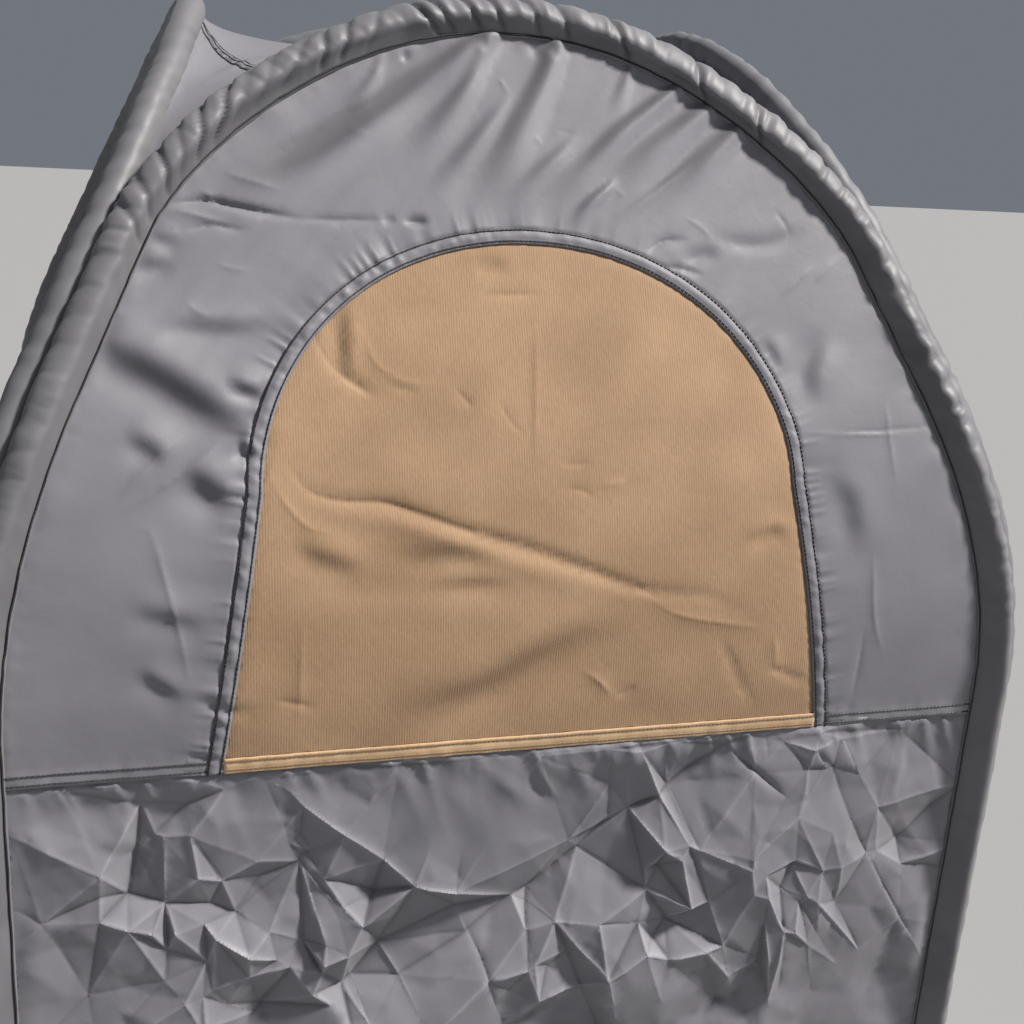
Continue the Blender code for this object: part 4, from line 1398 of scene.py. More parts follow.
# Creases of the photographed lower wall, as pixels of the photograph
FRONT_CREASES = [
    # the seam above, where the cloth is held flat
    [60, 793, 128, 789, 200, 781, 260, 776, 330, 771, 400, 766, 470, 760, 540, 755, 610, 748, 680, 742, 750, 735, 820,
     731, 900, 729, 960, 727],
    # the long ridge and what runs from it
    [265, 780, 289, 791, 304, 806, 345, 833, 384, 860, 414, 883, 457, 893, 516, 905, 529, 909, 553, 918, 577, 944, 601,
     969, 614, 1024, 622, 1060],
    [343, 907, 375, 896, 414, 883, 362, 923, 343, 907],
    [414, 883, 458, 914, 516, 905],
    [362, 923, 381, 952, 401, 982, 425, 1024, 440, 1060],
    [458, 914, 469, 939, 485, 972, 500, 1023, 510, 1060],
    [525, 909, 525, 929, 524, 962, 505, 985, 500, 1023],
    [531, 956, 535, 993, 578, 980, 601, 969],
    [524, 962, 531, 956, 545, 962],
    [553, 918, 565, 946, 578, 980, 597, 1024, 612, 1060],
    [535, 993, 522, 1024],
    [553, 918, 595, 918, 636, 919, 601, 969, 640, 944, 651, 935],
    [529, 909, 532, 899, 572, 846, 612, 786, 629, 769, 641, 751],
    [532, 899, 583, 857, 632, 813],
    [598, 806, 612, 824, 601, 838],
    [532, 899, 553, 918],
    [629, 769, 632, 813, 644, 887, 636, 919, 651, 935],
    [636, 919, 666, 920],
    # right of the middle
    [641, 751, 662, 799, 684, 839, 676, 853],
    [667, 741, 672, 790, 694, 843],
    [632, 813, 662, 799],
    [632, 813, 661, 845, 676, 853, 685, 900],
    [661, 845, 645, 865, 657, 863, 685, 900, 666, 920],
    [644, 887, 645, 865],
    [684, 839, 694, 843, 742, 859, 744, 849, 791, 810, 806, 768],
    [684, 839, 704, 896, 717, 938, 723, 970, 717, 1000, 731, 998, 754, 1024],
    [685, 900, 704, 896],
    [666, 920, 717, 938, 700, 944, 663, 952, 651, 935],
    [666, 920, 651, 935],
    [663, 952, 717, 1000, 700, 944],
    [663, 952, 655, 990, 660, 1024],
    [717, 1000, 700, 1024],
    [723, 970, 754, 951, 758, 911, 745, 884],
    [742, 859, 745, 884, 759, 887, 775, 882, 787, 857, 758, 866, 742, 859],
    [744, 849, 758, 866],
    [791, 810, 790, 853, 787, 857, 800, 888, 775, 882],
    [759, 887, 775, 921, 785, 921, 793, 894, 775, 882],
    [793, 894, 810, 894, 857, 948, 832, 898, 816, 863, 791, 810],
    [793, 894, 802, 938, 810, 989, 822, 1024],
    [812, 927, 833, 960, 850, 994, 862, 1024],
    [758, 911, 762, 991, 775, 978, 801, 1010, 810, 989],
    [754, 951, 762, 991, 754, 1024],
    [725, 746, 754, 770, 783, 794, 791, 810],
    [783, 741, 812, 747, 840, 737, 857, 772, 874, 803, 900, 840],
    [812, 747, 824, 766, 806, 768],
    [824, 766, 826, 826, 834, 860],
    [830, 764, 847, 816, 863, 849, 896, 915, 930, 970],
    [874, 848, 900, 863],
    [857, 948, 878, 975, 900, 1024],
    # left
    [141, 806, 155, 838, 163, 839, 187, 808, 225, 790],
    [100, 872, 136, 856, 155, 838],
    [163, 839, 165, 905],
    [100, 898, 128, 901, 160, 908, 211, 907, 236, 915, 270, 932, 303, 943, 325, 942, 347, 951],
    [165, 905, 198, 877, 222, 882, 236, 915],
    [187, 808, 190, 835, 198, 877],
    [222, 882, 258, 862, 290, 846],
    [236, 915, 300, 864, 322, 940],
    [222, 882, 260, 880, 300, 864],
    [286, 830, 301, 835, 312, 853, 324, 880, 343, 907],
    [300, 864, 290, 846, 286, 830],
    [301, 858, 318, 885, 338, 916, 347, 951],
    [343, 907, 338, 916],
    [100, 922, 128, 927, 152, 932, 160, 908, 175, 932, 204, 924, 215, 935, 249, 952, 277, 961, 290, 967, 312, 994],
    [204, 924, 211, 907],
    [303, 943, 322, 960, 347, 951, 343, 991, 322, 973, 303, 943],
    [322, 960, 322, 973],
    [347, 951, 353, 985, 370, 1024, 385, 1060],
    [343, 991, 353, 985],
    [347, 951, 362, 923],
    [204, 924, 207, 960, 203, 996, 206, 1024],
    [215, 935, 249, 976, 212, 990, 215, 935],
    [203, 996, 228, 1008, 256, 1022],
    [312, 994, 262, 1014, 256, 1022],
    [312, 994, 330, 1005, 352, 1030],
    [165, 980, 185, 1000, 200, 1024],
    [165, 980, 168, 950, 160, 908],
]
# Places of that wall by how much the cloth leans towards the light there: 3 is most, -3 most away from it
FRONT_LEANS = {
    3: [228, 926],
    2.5: [135, 915, 770, 873, 750, 874, 835, 915, 825, 905],
    2: [135, 825, 150, 915, 208, 914, 262, 950, 222, 1012, 365, 897, 390, 892, 360, 915, 560, 905, 655, 770, 660, 780,
        680, 825, 672, 812, 690, 935, 675, 938],
    1.5: [185, 918, 255, 938, 325, 951, 385, 990, 490, 930, 505, 930, 500, 960, 515, 945, 680, 865, 690, 880, 650, 925,
        780, 900, 787, 905],
    1.2: [600, 870, 600, 905],
    1: [205, 840, 260, 897, 290, 900, 350, 800, 365, 960, 430, 960, 440, 1000, 455, 950, 535, 930, 545, 945, 550, 975,
        620, 860, 615, 940, 630, 935, 650, 815, 665, 830, 650, 905, 770, 950, 835, 790, 840, 830, 885, 800, 880, 830],
    0.7: [720, 800, 740, 820, 770, 800, 812, 800],
    0.5: [175, 822, 178, 862, 240, 820, 262, 800, 300, 920, 285, 952, 190, 985, 318, 900, 330, 925, 312, 960, 352, 935,
        355, 960, 560, 965, 740, 760, 655, 890, 680, 990, 735, 985, 796, 850, 810, 875, 780, 940, 820, 950, 795, 790,
        815, 830, 845, 870, 880, 770, 885, 880, 740, 1010, 780, 1005],
    0.3: [380, 800, 855, 900, 868, 830],
    0: [150, 822, 240, 850, 225, 965, 170, 1005, 355, 868, 390, 830, 345, 925, 300, 975, 400, 820, 603, 820, 690, 770,
        700, 820, 760, 858, 800, 880, 785, 960, 820, 910, 840, 950, 850, 790, 870, 880, 875, 930],
    -0.2: [430, 860],
    -0.3: [455, 820, 480, 870, 500, 800, 520, 870, 545, 850],
    -0.5: [150, 795, 140, 950, 300, 1012, 330, 850, 510, 1000, 560, 800, 590, 940, 625, 1000, 745, 965, 765, 845, 780,
        830, 845, 990],
    -1: [205, 790, 140, 885, 245, 870, 265, 872, 310, 830, 365, 880, 528, 980, 570, 1000, 575, 925, 636, 790, 740, 925,
        640, 980, 630, 960, 840, 760, 885, 960],
    -1.5: [150, 868, 222, 900, 190, 950, 211, 945, 260, 985, 240, 960, 280, 1000, 330, 962, 410, 940, 555, 1005, 575,
        860, 600, 836, 618, 800, 625, 790, 645, 775, 650, 790, 645, 835, 640, 850, 685, 912, 700, 915, 725, 870, 730,
        900, 720, 915, 690, 960, 680, 955, 700, 970, 800, 752],
    -2: [310, 910, 333, 975, 385, 925, 405, 910, 440, 895, 572, 950, 585, 965, 710, 860, 700, 865, 788, 875],
    -2.5: [190, 897, 425, 915, 590, 1000, 603, 1010, 670, 860, 665, 872, 765, 905],
    -3: [460, 902, 485, 904],
}
FRONT_WALL_FOLDS = [
    ("crease", 2.8, 3.6, [262, 777, 289, 791, 304, 806, 345, 833, 384, 860, 414, 883, 430, 887]),
    ("crease", 2.8, 3.6, [400, 876, 414, 883, 457, 893, 516, 905, 529, 909]),
    ("crease", 2.4, 3.4, [516, 905, 529, 909, 553, 918, 577, 944, 601, 969, 612, 1010]),
    ("crease", 1.6, 2.4, [535, 993, 556, 987, 578, 980, 601, 969, 640, 944, 655, 933]),
    ("slit", 1.3, 2.4, [549, 918, 595, 918, 640, 919]),
    ("slit", 1.2, 2.4, [528, 905, 583, 857, 634, 811]),
    ("crease", 1.0, 2.4, [532, 899, 572, 846, 612, 786]),
    ("crease", 1.2, 2.4, [553, 918, 565, 946, 578, 980, 597, 1024]),
    ("crease", 1.6, 2.4, [640, 749, 651, 776, 662, 799, 684, 839]),
    ("crease", 1.4, 2.4, [667, 739, 672, 790, 696, 845]),
    ("slit", 1.6, 2.4, [632, 813, 648, 806, 664, 799]),
    ("crease", 1.6, 2.4, [632, 813, 661, 845, 676, 853, 685, 902]),
    ("crease", 1.8, 2.4, [682, 837, 694, 843, 742, 859, 747, 846, 791, 810]),
    ("crease", 1.4, 2.4, [791, 812, 800, 790, 806, 766]),
    ("crease", 1.5, 2.4, [684, 839, 704, 896, 717, 938, 723, 970]),
    ("crease", 1.4, 2.4, [664, 920, 690, 929, 717, 938, 690, 946, 663, 952]),
    ("crease", 1.2, 2.4, [663, 952, 690, 976, 717, 1000]),
    ("crease", 1.4, 2.4, [745, 884, 759, 887, 775, 884, 793, 893, 812, 893]),
    ("crease", 1.6, 2.4, [791, 812, 803, 838, 816, 863, 832, 898, 857, 948]),
    ("crease", 1.4, 2.4, [787, 857, 792, 872, 800, 889]),
    ("crease", 1.2, 2.4, [793, 896, 802, 938, 810, 989]),
    ("crease", 1.2, 2.4, [758, 911, 760, 950, 762, 991]),
    ("crease", 1.2, 2.4, [723, 970, 740, 960, 756, 950]),
    ("crease", 1.4, 2.4, [781, 740, 798, 744, 812, 747, 840, 736]),
    ("crease", 1.4, 2.4, [343, 907, 375, 896, 400, 888, 414, 883]),
    ("crease", 1.4, 2.4, [340, 912, 362, 923, 390, 903, 414, 884]),
    ("crease", 1.3, 2.4, [362, 923, 381, 952, 401, 982, 427, 1028]),
    ("crease", 1.8, 2.4, [203, 924, 215, 935, 249, 952, 277, 961, 290, 967]),
    ("crease", 1.2, 2.4, [163, 907, 211, 907, 236, 915, 270, 932, 303, 943, 325, 942, 348, 951]),
    ("crease", 1.4, 2.4, [154, 839, 164, 840, 164, 872, 165, 905]),
    ("crease", 1.2, 2.4, [132, 858, 142, 850, 155, 839]),
    ("crease", 1.2, 2.4, [204, 996, 228, 1008, 256, 1022]),
    ("crease", 1.2, 2.4, [343, 951, 348, 968, 353, 985, 368, 1024]),
    ("slit", 3.2, 3.0, [290, 836, 308, 855, 320, 876]),
    ("slit", 2.4, 3.5, [303, 873, 311, 895, 321, 934]),
    ("crease", 1.6, 3.0, [301, 858, 312, 880, 325, 895, 340, 908]),
    ("slit", 2.2, 3.0, [457, 912, 467, 931, 481, 958, 490, 991, 503, 1026]),
    ("slit", 1.2, 2.5, [525, 911, 526, 935, 522, 968]),
    ("slit", 4.6, 3.0, [722, 744, 741, 758, 762, 776, 788, 799]),
    ("slit", 2.6, 2.5, [814, 748, 819, 756, 823, 764]),
    ("slit", 2.0, 2.5, [851, 826, 870, 862, 898, 915, 922, 958]),
    ("slit", 3.0, 3.0, [760, 889, 773, 913, 784, 924]),
    ("slit", 1.8, 2.5, [762, 731, 767, 744, 766, 756]),
    ("slit", 2.0, 2.5, [838, 730, 843, 742, 858, 776]),
    ("slit", 1.6, 3.0, [804, 893, 830, 920, 855, 946]),
    ("slit", 1.4, 2.5, [302, 943, 320, 967, 342, 990]),
    ("groove", 2.2, 7, [238, 770, 240, 790, 240, 805]),
    ("groove", 2.6, 9, [210, 788, 196, 800, 187, 808]),
    ("swell", 1.6, 14, [428, 758, 440, 786, 456, 812, 470, 846, 474, 880]),
    ("swell", 2.2, 8, [484, 760, 500, 784, 520, 806, 530, 830]),
    ("groove", 2.0, 8, [520, 750, 540, 790, 556, 812]),
    ("ridge", 2.0, 5, [530, 760, 548, 786, 561, 806]),
    ("groove", 2.6, 8, [590, 745, 598, 768, 613, 782]),
    ("ridge", 2.0, 8, [571, 752, 586, 785, 600, 800]),
    ("groove", 1.8, 6, [282, 800, 286, 816, 300, 800]),
]


# The front face

# Mesh steps of the window faces: upper panel, window, lower wall, seams and folds
FRONT_MESH = (0.0052, 0.0068, 0.0054, 0.0026, 0.0028)
BACK_MESH = (0.0120, 0.0120, 0.0110, 0.0044, 0.0065)
FOLD_REACH = 0.006    # how far from a sharp fold the mesh is finer
# The part of the photographed wall whose mesh follows the creases, and the rows of points beside each: step, offset
DETAIL_LOW, DETAIL_HIGH = np.array((-0.60, 0.79)), np.array((0.60, 1.10))
BESIDE_CREASES = ((0.0030, 0.0019), (0.0035, 0.0046))


def made_face(side, folds, seed, nets, mesh_steps, strength, wall_folds=(), soft=None):
    """Upper panel, window with its band and sill, and lower wall of a window face."""
    place = face_place(FACES[side])
    panel_step, window_step, wall_step, seam_step, fold_step = mesh_steps
    base = panel_relief(folds, seed)
    sharp = sharp_lines(folds)

    def near_folds(points):
        close = np.zeros(len(points), bool)
        for line in sharp:
            box = boxed(points, line.min(0) - FOLD_REACH, line.max(0) + FOLD_REACH)
            if len(box):
                close[box] |= near_line(points[box], line)[0] < FOLD_REACH
        return close

    fans = [fold[3] for fold in folds if fold[0] in PLEATS]

    panel = around_window(base, seed, strength)
    outline = ring_outline(HOOP_EDGE, mirrored(window_half(WAIST_Z + JOIN_GAP / 2, BAND_WIDTH - UNDERLAP)))
    cloth_piece(f"{side}_upper_cloth", place, outline, panel, f"upper_panel_{side}", panel_step,
                [(fold_step, near_folds), (seam_step, near_edge(WINDOW_EDGE, BAND_WIDTH + 0.022)),
                 (seam_step * 1.3, near_edge(HOOP_EDGE, 0.016))]
                + ([(0.0042, near_lines(fans, 0.018))] if fans else []), seed=seed, tone=pleat_painted_shade(folds))
    window = window_relief(base)
    half = window_half(WAIST_Z + SILL_HEIGHT - 0.004, UNDERLAP)
    cloth_piece(f"{side}_window_cloth", place, closed_below(mirrored(half)), window, f"window_cloth_{side}",
                window_step, [(fold_step, near_folds)], seed=seed + 1, tone=pleat_painted_shade(folds),
                finish_name="tan_ribbed", slot="tan_ribbed_cloth")
    band = band_relief(base, seed, strength)
    outline = ring_outline(mirrored(window_half(WAIST_Z + JOIN_GAP / 2, BAND_WIDTH, 0.002)),
                           mirrored(window_half(WAIST_Z + JOIN_GAP / 2, JOIN_GAP, 0.002)))
    cloth_piece(f"{side}_window_band", place, outline, band, f"window_band_{side}", seam_step, seed=seed + 2)
    sill = sill_relief(base, seed)
    side_u = WINDOW_HALF_SILL - JOIN_GAP
    outline = spaced(oblong(-side_u, LOW, side_u, LOW + SILL_HEIGHT), 0.003, closed=True)
    cloth_piece(f"{side}_window_sill", place, outline, sill, f"window_sill_{side}", seam_step * 1.2, seed=seed + 3,
                finish_name="tan_strip", slot="tan_ribbed_cloth")
    outline, hoop_line = wall_outline(0.004)
    wall = wall_relief(nets, seed + 10, hoop_line, wall_folds, soft)
    detailed = side == "front"
    lines = net_lines(nets[0], DETAIL_LOW, DETAIL_HIGH) if detailed else []
    close = [(wall_step, lambda p: detailed & (p[:, 1] > DETAIL_LOW[1])),
             (seam_step * 1.5, lambda p: p[:, 1] > WAIST_S - 0.03)]
    if detailed:
        rows = [(step, np.vstack([beside(line, offset * sign) for line in lines for sign in (-1, 1)]))
                for step, offset in BESIDE_CREASES]
        close = rows + [(0.0016, near_lines(sharp_lines(wall_folds), 0.0030))] + close
    cloth_piece(f"{side}_lower_cloth", place, outline, wall, f"lower_wall_{side}", wall_step * 2.0, close, lines,
                seed=seed + 4, tone=crease_painted_shade(nets[0], soft))
    rows = [thread(place, band, mirrored(window_half(WAIST_Z + 0.001, offset)), 0.0007)
            for offset in (ROW_INNER, ROW_OUTER)]
    hem, first_u = with_hem(base, seed + 5), WINDOW_HALF_SILL + BAND_WIDTH + 0.001
    for row in HEM_ROWS:
        rows += [thread(place, hem, [(sign * first_u, LOW + row), (sign * hem_end(row), LOW + row)], 0.0007)
                 for sign in (-1, 1)]
    sewn_rows(f"{side}_seam_stitches", rows, thick=WINDOW_THREAD)
    end_u = WINDOW_HALF_SILL - 0.004
    rows = [thread(place, sill, [(-end_u, LOW + row), (end_u, LOW + row)], 0.0006) for row in HEM_ROWS]
    sewn_rows(f"{side}_sill_stitches", rows, "brown_thread", "tan_ribbed_cloth", thick=SILL_THREAD)


LEAN_STEP = 11.8    # degrees
LEAN_EASE = 0.07    # share taken off for each step, so that steep facets don't glare
WALL_LOW, WALL_HIGH = np.array((-0.58, 0.03)), np.array((0.58, 1.10))
# Large and small crumples: how far apart their corners are and how high they stand, in metres
FRONT_CRUMPLES = ((0.075, 0.0085), (0.038, 0.0021))
OTHER_CRUMPLES = ((0.095, 0.0090), (0.045, 0.0016))


def front_strength(share):
    """How strong the gathers round the photographed window are, by the share of the way round its outline."""
    left = eased((share - 0.45) / 0.15)
    right_foot = eased((0.30 - share) / 0.12)
    return 0.30 + 0.70 * np.maximum(left, 0.7 * right_foot)


read_leans = [(place, math.tan(math.radians(LEAN_STEP * lean * (1 - LEAN_EASE * abs(lean)))))
              for lean, pixels in FRONT_LEANS.items() for place in from_photo(pixels)]
read_box = (np.array((-0.47, 0.80)), np.array((0.52, 1.20)))    # where the creases read off the photograph lie
front_nets = [crumple_net(WALL_LOW, WALL_HIGH, *FRONT_CRUMPLES[0], 11, [from_photo(c) for c in FRONT_CREASES],
                          read_leans, read_box),
              crumple_net(WALL_LOW, WALL_HIGH, *FRONT_CRUMPLES[1], 12)]
SOFT_AREA = (from_photo([472, 812])[0], np.array((0.125, 0.078)))    # its middle, from pixels, and half sizes
FOLD_SWELL, WALL_FOLD_SWELL = 1.5, 1.2    # how much higher folds are than they were first read
made_face("front", read_folds(FRONT_FOLDS, FOLD_SWELL), 21, front_nets, FRONT_MESH, front_strength,
          read_folds(FRONT_WALL_FOLDS, WALL_FOLD_SWELL), SOFT_AREA)


def front_calm(at):
    """The photographed sleeve is ruffled over the top and right, and rolled smooth on the left."""
    return 0.42 + 0.58 * eased((at[:, 0] + 0.20) / 0.14) * eased((at[:, 1] - 1.2) / 0.2)


# Pinches across the photographed sleeve: its place in pixels, then depth, half width and slant in mm
FRONT_PINCHES = [
    (222, 118, 4.6, 5, -150), (203, 140, 4, 4.4, -120), (170, 180, 3.8, 4.4, -90), (243, 104, 1.6, 7, -160),
    (186, 160, 2, 4.4, -110), (325, 60, 3.4, 4.4, -70), (349, 54, 3.6, 4.4, -80), (300, 76, 2.4, 6, -160),
    (270, 90, 1.8, 6, -150), (150, 205, 2.6, 5, -90), (137, 228, 2.6, 4.4, -80), (375, 38, 2, 4.4, -90),
    (422, 18, 4, 3.6, 60), (438, 14, 3.4, 3.4, 60), (468, 12, 4.2, 3.6, 60), (492, 12, 3.4, 3.4, 50),
    (531, 12, 3.4, 3.4, 50), (560, 18, 3.6, 3.6, 50), (618, 38, 4.4, 3.8, 80), (700, 76, 4, 3.8, 80),
    (760, 116, 3.6, 3.8, 80)
]

make_sleeve("front", front_calm, 31, [(from_photo([x, y])[0], depth / 1000, width / 1000, slant / 1000)
                                      for x, y, depth, width, slant in FRONT_PINCHES])
make_sleeve("left", lambda at: 0.35, 41)

# The other faces

def soft_folds(count, low, high, seed, slope=(0.6, 1.3)):
    """Random soft flanks that run like those of the photographed face."""
    rng = np.random.default_rng(seed)
    folds = []
    for _ in range(count):
        middle = rng.uniform(low, high)
        angle = rng.uniform(*slope) * rng.choice((1, 1, -1))
        reach = rng.uniform(0.04, 0.12)
        ahead = np.array((math.cos(angle), math.sin(angle)))
        bend = np.array((-ahead[1], ahead[0])) * rng.uniform(-0.012, 0.012)
        line = np.array([middle - ahead * reach, middle + bend, middle + ahead * reach])
        kind = ("band", "band", "groove", "ridge")[int(rng.integers(4))]
        folds.append((kind, float(rng.uniform(1.4, 3.4)), float(rng.uniform(6, 14)), rounded(line)))
    for _ in range(count // 2):
        middle = rng.uniform(low, high)
        angle = rng.uniform(-1.5, 1.5)
        reach = rng.uniform(0.02, 0.07)
        ahead = np.array((math.cos(angle), math.sin(angle))) * reach
        folds.append((("crease", "slit")[int(rng.integers(2))], float(rng.uniform(0.6, 1.2)), 3.0,
                      rounded(np.array([middle - ahead, middle, middle + ahead]))))
    return folds


PANEL_LOW, PANEL_HIGH = np.array((-0.50, WAIST_S + 0.04)), np.array((0.50, WAIST_S + 0.72))
# Mesh steps of the plain face and of the door face
PLAIN_STEP, PLAIN_EDGE_STEP, PLAIN_WALL_STEP = 0.0125, 0.0050, 0.0150
DOOR_STEP, DOOR_SEAM_STEP, FLAP_STEP = 0.0105, 0.0045, 0.0165


def random_nets(seed):
    return [crumple_net(WALL_LOW, WALL_HIGH, *sizes, seed + number) for number, sizes in enumerate(OTHER_CRUMPLES)]


def hem_rows(place, relief, first_u):
    """The rows of thread along a panel's hem, with a gap in the middle up to first_u where one is given."""
    rows = []
    for row in HEM_ROWS:
        far = hem_end(row)
        spans = [(-far, far)] if first_u is None else [(-far, -first_u), (first_u, far)]
        rows += [thread(place, relief, [(start, LOW + row), (end, LOW + row)], 0.0004, 0.006) for start, end in spans]
    return rows


def wall_piece(name, place, outline, nets, seed, node, spacing, edge):
    cloth_piece(name, place, outline, wall_relief(nets, seed, edge), node, spacing,
                [(0.0065, lambda p: p[:, 1] > WAIST_S - 0.020)], soften=1, seed=seed, tone=crease_painted_shade(nets[0]))


def plain_face(side, seed):
    """Upper panel without a window, and the lower wall."""
    place = face_place(FACES[side])
    relief = with_hem(panel_relief(soft_folds(26, PANEL_LOW, PANEL_HIGH, seed), seed), seed + 5)
    cloth_piece(f"{side}_upper_cloth", place, closed_below(HOOP_EDGE), relief, f"upper_panel_{side}", PLAIN_STEP,
                [(PLAIN_EDGE_STEP, near_edge(HOOP_EDGE, 0.010))], seed=seed)
    outline, hoop_line = wall_outline(0.005)
    wall_piece(f"{side}_lower_cloth", place, outline, random_nets(seed + 20), seed + 10,
               f"lower_wall_{side}", PLAIN_WALL_STEP, hoop_line)
    sewn_rows(f"{side}_seam_stitches", hem_rows(place, relief, None), thick=SEAM_THREAD)


def door_line(grow, step=0.004):
    """The door's outline: the window's arch, with legs down to the threshold."""
    upper = window_half(WAIST_Z, grow, step)
    foot = np.array([(WINDOW_HALF_SILL + grow, DOOR_FLOOR_Z + JOIN_GAP)])
    leg = spaced(np.vstack([foot, upper[:1]]), step)[:-1]
    return mirrored(np.vstack([leg, upper]))


def door_face(seed):
    """The face with the zipped door: panel above, flap, zip, walls beside it and the strip under it."""
    place = face_place(FACES["right"])
    folds = soft_folds(22, PANEL_LOW, PANEL_HIGH, seed) + soft_folds(
        14, np.array((-0.28, 0.2)), np.array((0.28, 1.1)), seed + 3)
    base = panel_relief(folds, seed)
    zip_edge = door_line(0.0)
    zip_outer = door_line(ZIP_WIDTH)

    def steady(points):
        """The door's own cloth: the panel's folds above, its own swells below."""
        u, s = points[:, 0], points[:, 1]
        upper = base(points) * eased((s - WAIST_S) / 0.05)
        own = 0.0035 * bumps(u / 0.20, s / 0.26, seed + 8) + fold_relief(points, folds)
        return upper + own * (1 - eased((s - WAIST_S + 0.05) / 0.10))

    def panel(points):
        off, run = near_outline(points, zip_outer)
        gathers = 0.0010 * np.exp(-off / 0.012) * bumps(run / 0.010, off / 0.03, seed + 4)
        return with_hem(base, seed + 5)(points) * (0.3 + 0.7 * eased(off / 0.03)) + gathers

    inner = mirrored(window_half(WAIST_Z + JOIN_GAP / 2, ZIP_WIDTH + JOIN_GAP))
    cloth_piece("right_upper_cloth", place, ring_outline(HOOP_EDGE, inner), panel, "upper_panel_right", DOOR_STEP,
                [(DOOR_SEAM_STEP, near_edge(zip_outer, 0.014))], seed=seed)

    def flap(points):
        off, run = near_outline(points, zip_edge)
        gathers = 0.0011 * np.exp(-off / 0.014) * bumps(run / 0.012, off / 0.03, seed + 6)
        return steady(points) * (0.1 + 0.9 * eased(off / 0.05)) + gathers

    cloth_piece("door_cloth", place, closed_below(door_line(-JOIN_GAP)), flap, "door_flap", FLAP_STEP,
                [(0.0060, near_edge(zip_edge, 0.014))], seed=seed + 1)

    def tape(points):
        off = near_outline(points, zip_edge)[0]
        middle = np.exp(-((off - ZIP_WIDTH / 2) / 0.0030) ** 2)
        return 0.0008 + 0.0008 * middle + 0.0003 * bumps(points[:, 1] / 0.02, off / 0.02, seed)

    cloth_piece("door_zip_tape", place, ring_outline(door_line(ZIP_WIDTH, 0.0045), door_line(JOIN_GAP, 0.0045)),
                tape, "door_zip", 0.0052, seed=seed + 2, finish_name="black_tape", slot="black_zip_tape")
    teeth = [thread(place, tape, door_line(ZIP_WIDTH / 2 + off), 0.0007) for off in (-0.0011, 0.0011)]
    sewn_rows("door_zip_coil", teeth, "black_tape", "black_zip_tape", pitch=0.0055, length=0.0034, thick=0.0024)
    rows = [thread(place, tape, door_line(offset), 0.0003) for offset in (0.0030, ZIP_WIDTH - 0.0030)]
    sewn_rows("door_zip_stitches", rows, slot="black_zip_tape", pitch=0.0080)
    edge = hoop_inside(EDGE_IN_SLEEVE, LOW + UNDERLAP, False)
    whole_edge = np.vstack([edge[::-1] * (-1, 1), edge])
    nets = random_nets(seed + 20)
    post = WINDOW_HALF_SILL + ZIP_WIDTH + JOIN_GAP
    foot = edge[edge[:, 0] > post]
    low_z = edge[0, 1]
    outline = spaced(np.vstack([[(post, low_z)], foot, [(post, foot[-1, 1])]]), 0.005, closed=True)
    wall_piece("right_lower_cloth_far", place, outline, nets, seed + 10, "lower_wall_right_far", DOOR_STEP,
               whole_edge)
    wall_piece("right_lower_cloth_near", place, (outline * (-1, 1))[::-1], nets, seed + 10,
               "lower_wall_right_near", DOOR_STEP, whole_edge)
    width = WINDOW_HALF_SILL + ZIP_WIDTH

    def strip(points):
        return 0.0015 * bumps(points[:, 0] / 0.05, points[:, 1] / 0.04, seed + 7) * eased(
            (DOOR_FLOOR_Z - points[:, 1]) / 0.03)

    outline = spaced(oblong(-width, low_z, width, DOOR_FLOOR_Z), 0.006, closed=True)
    cloth_piece("door_threshold_cloth", place, outline, strip, "door_threshold", 0.010, seed=seed + 3)
    sewn_rows("right_seam_stitches", hem_rows(place, panel, width + 0.002), thick=SEAM_THREAD)


# The roof: a patch spanned by the four arches, let down in the middle

ROOF_SCALE = 0.38    # half the roof's width in its own flat points
ROOF_STEP, GUSSET_STEP = 0.0095, 0.0065    # mesh steps


def roof_edge(share):
    """Where the roof's cloth meets the front sleeve: -1 at the left shoulder, 1 at the right one."""
    def arch(values):
        angle = np.pi / 2 * (1 - np.abs(values))
        z = SHOULDER_Z + (TOP_Z - SHOULDER_Z) * np.sin(angle)
        reach = (half_width(z) - CORNER_INSET) * np.maximum(np.cos(angle), 0) ** ARCH_POWER
        return np.stack([np.sign(values) * reach, -half_width(z), z], 1), lean_at(z)
    points, lean = arch(share)
    step = 0.004
    ahead = arch(np.clip(share + step, -1, 1))[0] - arch(np.clip(share - step, -1, 1))[0]
    ahead /= np.maximum(np.linalg.norm(ahead, axis=1), 1e-9)[:, None]
    facing = np.stack([0 * lean, -1 + 0 * lean, lean], 1) / np.sqrt(1 + lean * lean)[:, None]
    outward = -np.cross(ahead, facing)
    rise = np.minimum(ROOF_EDGE_STEPS * (1 - np.abs(share)) / 4, 1.0)
    out = ROOF_EDGE_CORNER + (ROOF_EDGE_TOP - ROOF_EDGE_CORNER) * rise
    return points + out[:, None] * outward - ROOF_EDGE_BACK * facing


def roof_surface(points):
    s, t = points[:, 0] / ROOF_SCALE, points[:, 1] / ROOF_SCALE
    front, back = roof_edge(s), turn(roof_edge(-s), 180)
    right, left = turn(roof_edge(t), 90), turn(roof_edge(-t), 270)
    corner = roof_edge(np.array([-1.0]))[0]
    half = (abs(corner[0]) + abs(corner[1])) / 2
    total = (front * (1 - t)[:, None] + back * (1 + t)[:, None] + left * (1 - s)[:, None]
             + right * (1 + s)[:, None]) / 2
    total -= np.stack([half * s, half * t, np.full(len(s), corner[2])], 1)
    total[:, 2] -= ROOF_SAG * (1 - s * s) * (1 - t * t)
    return total


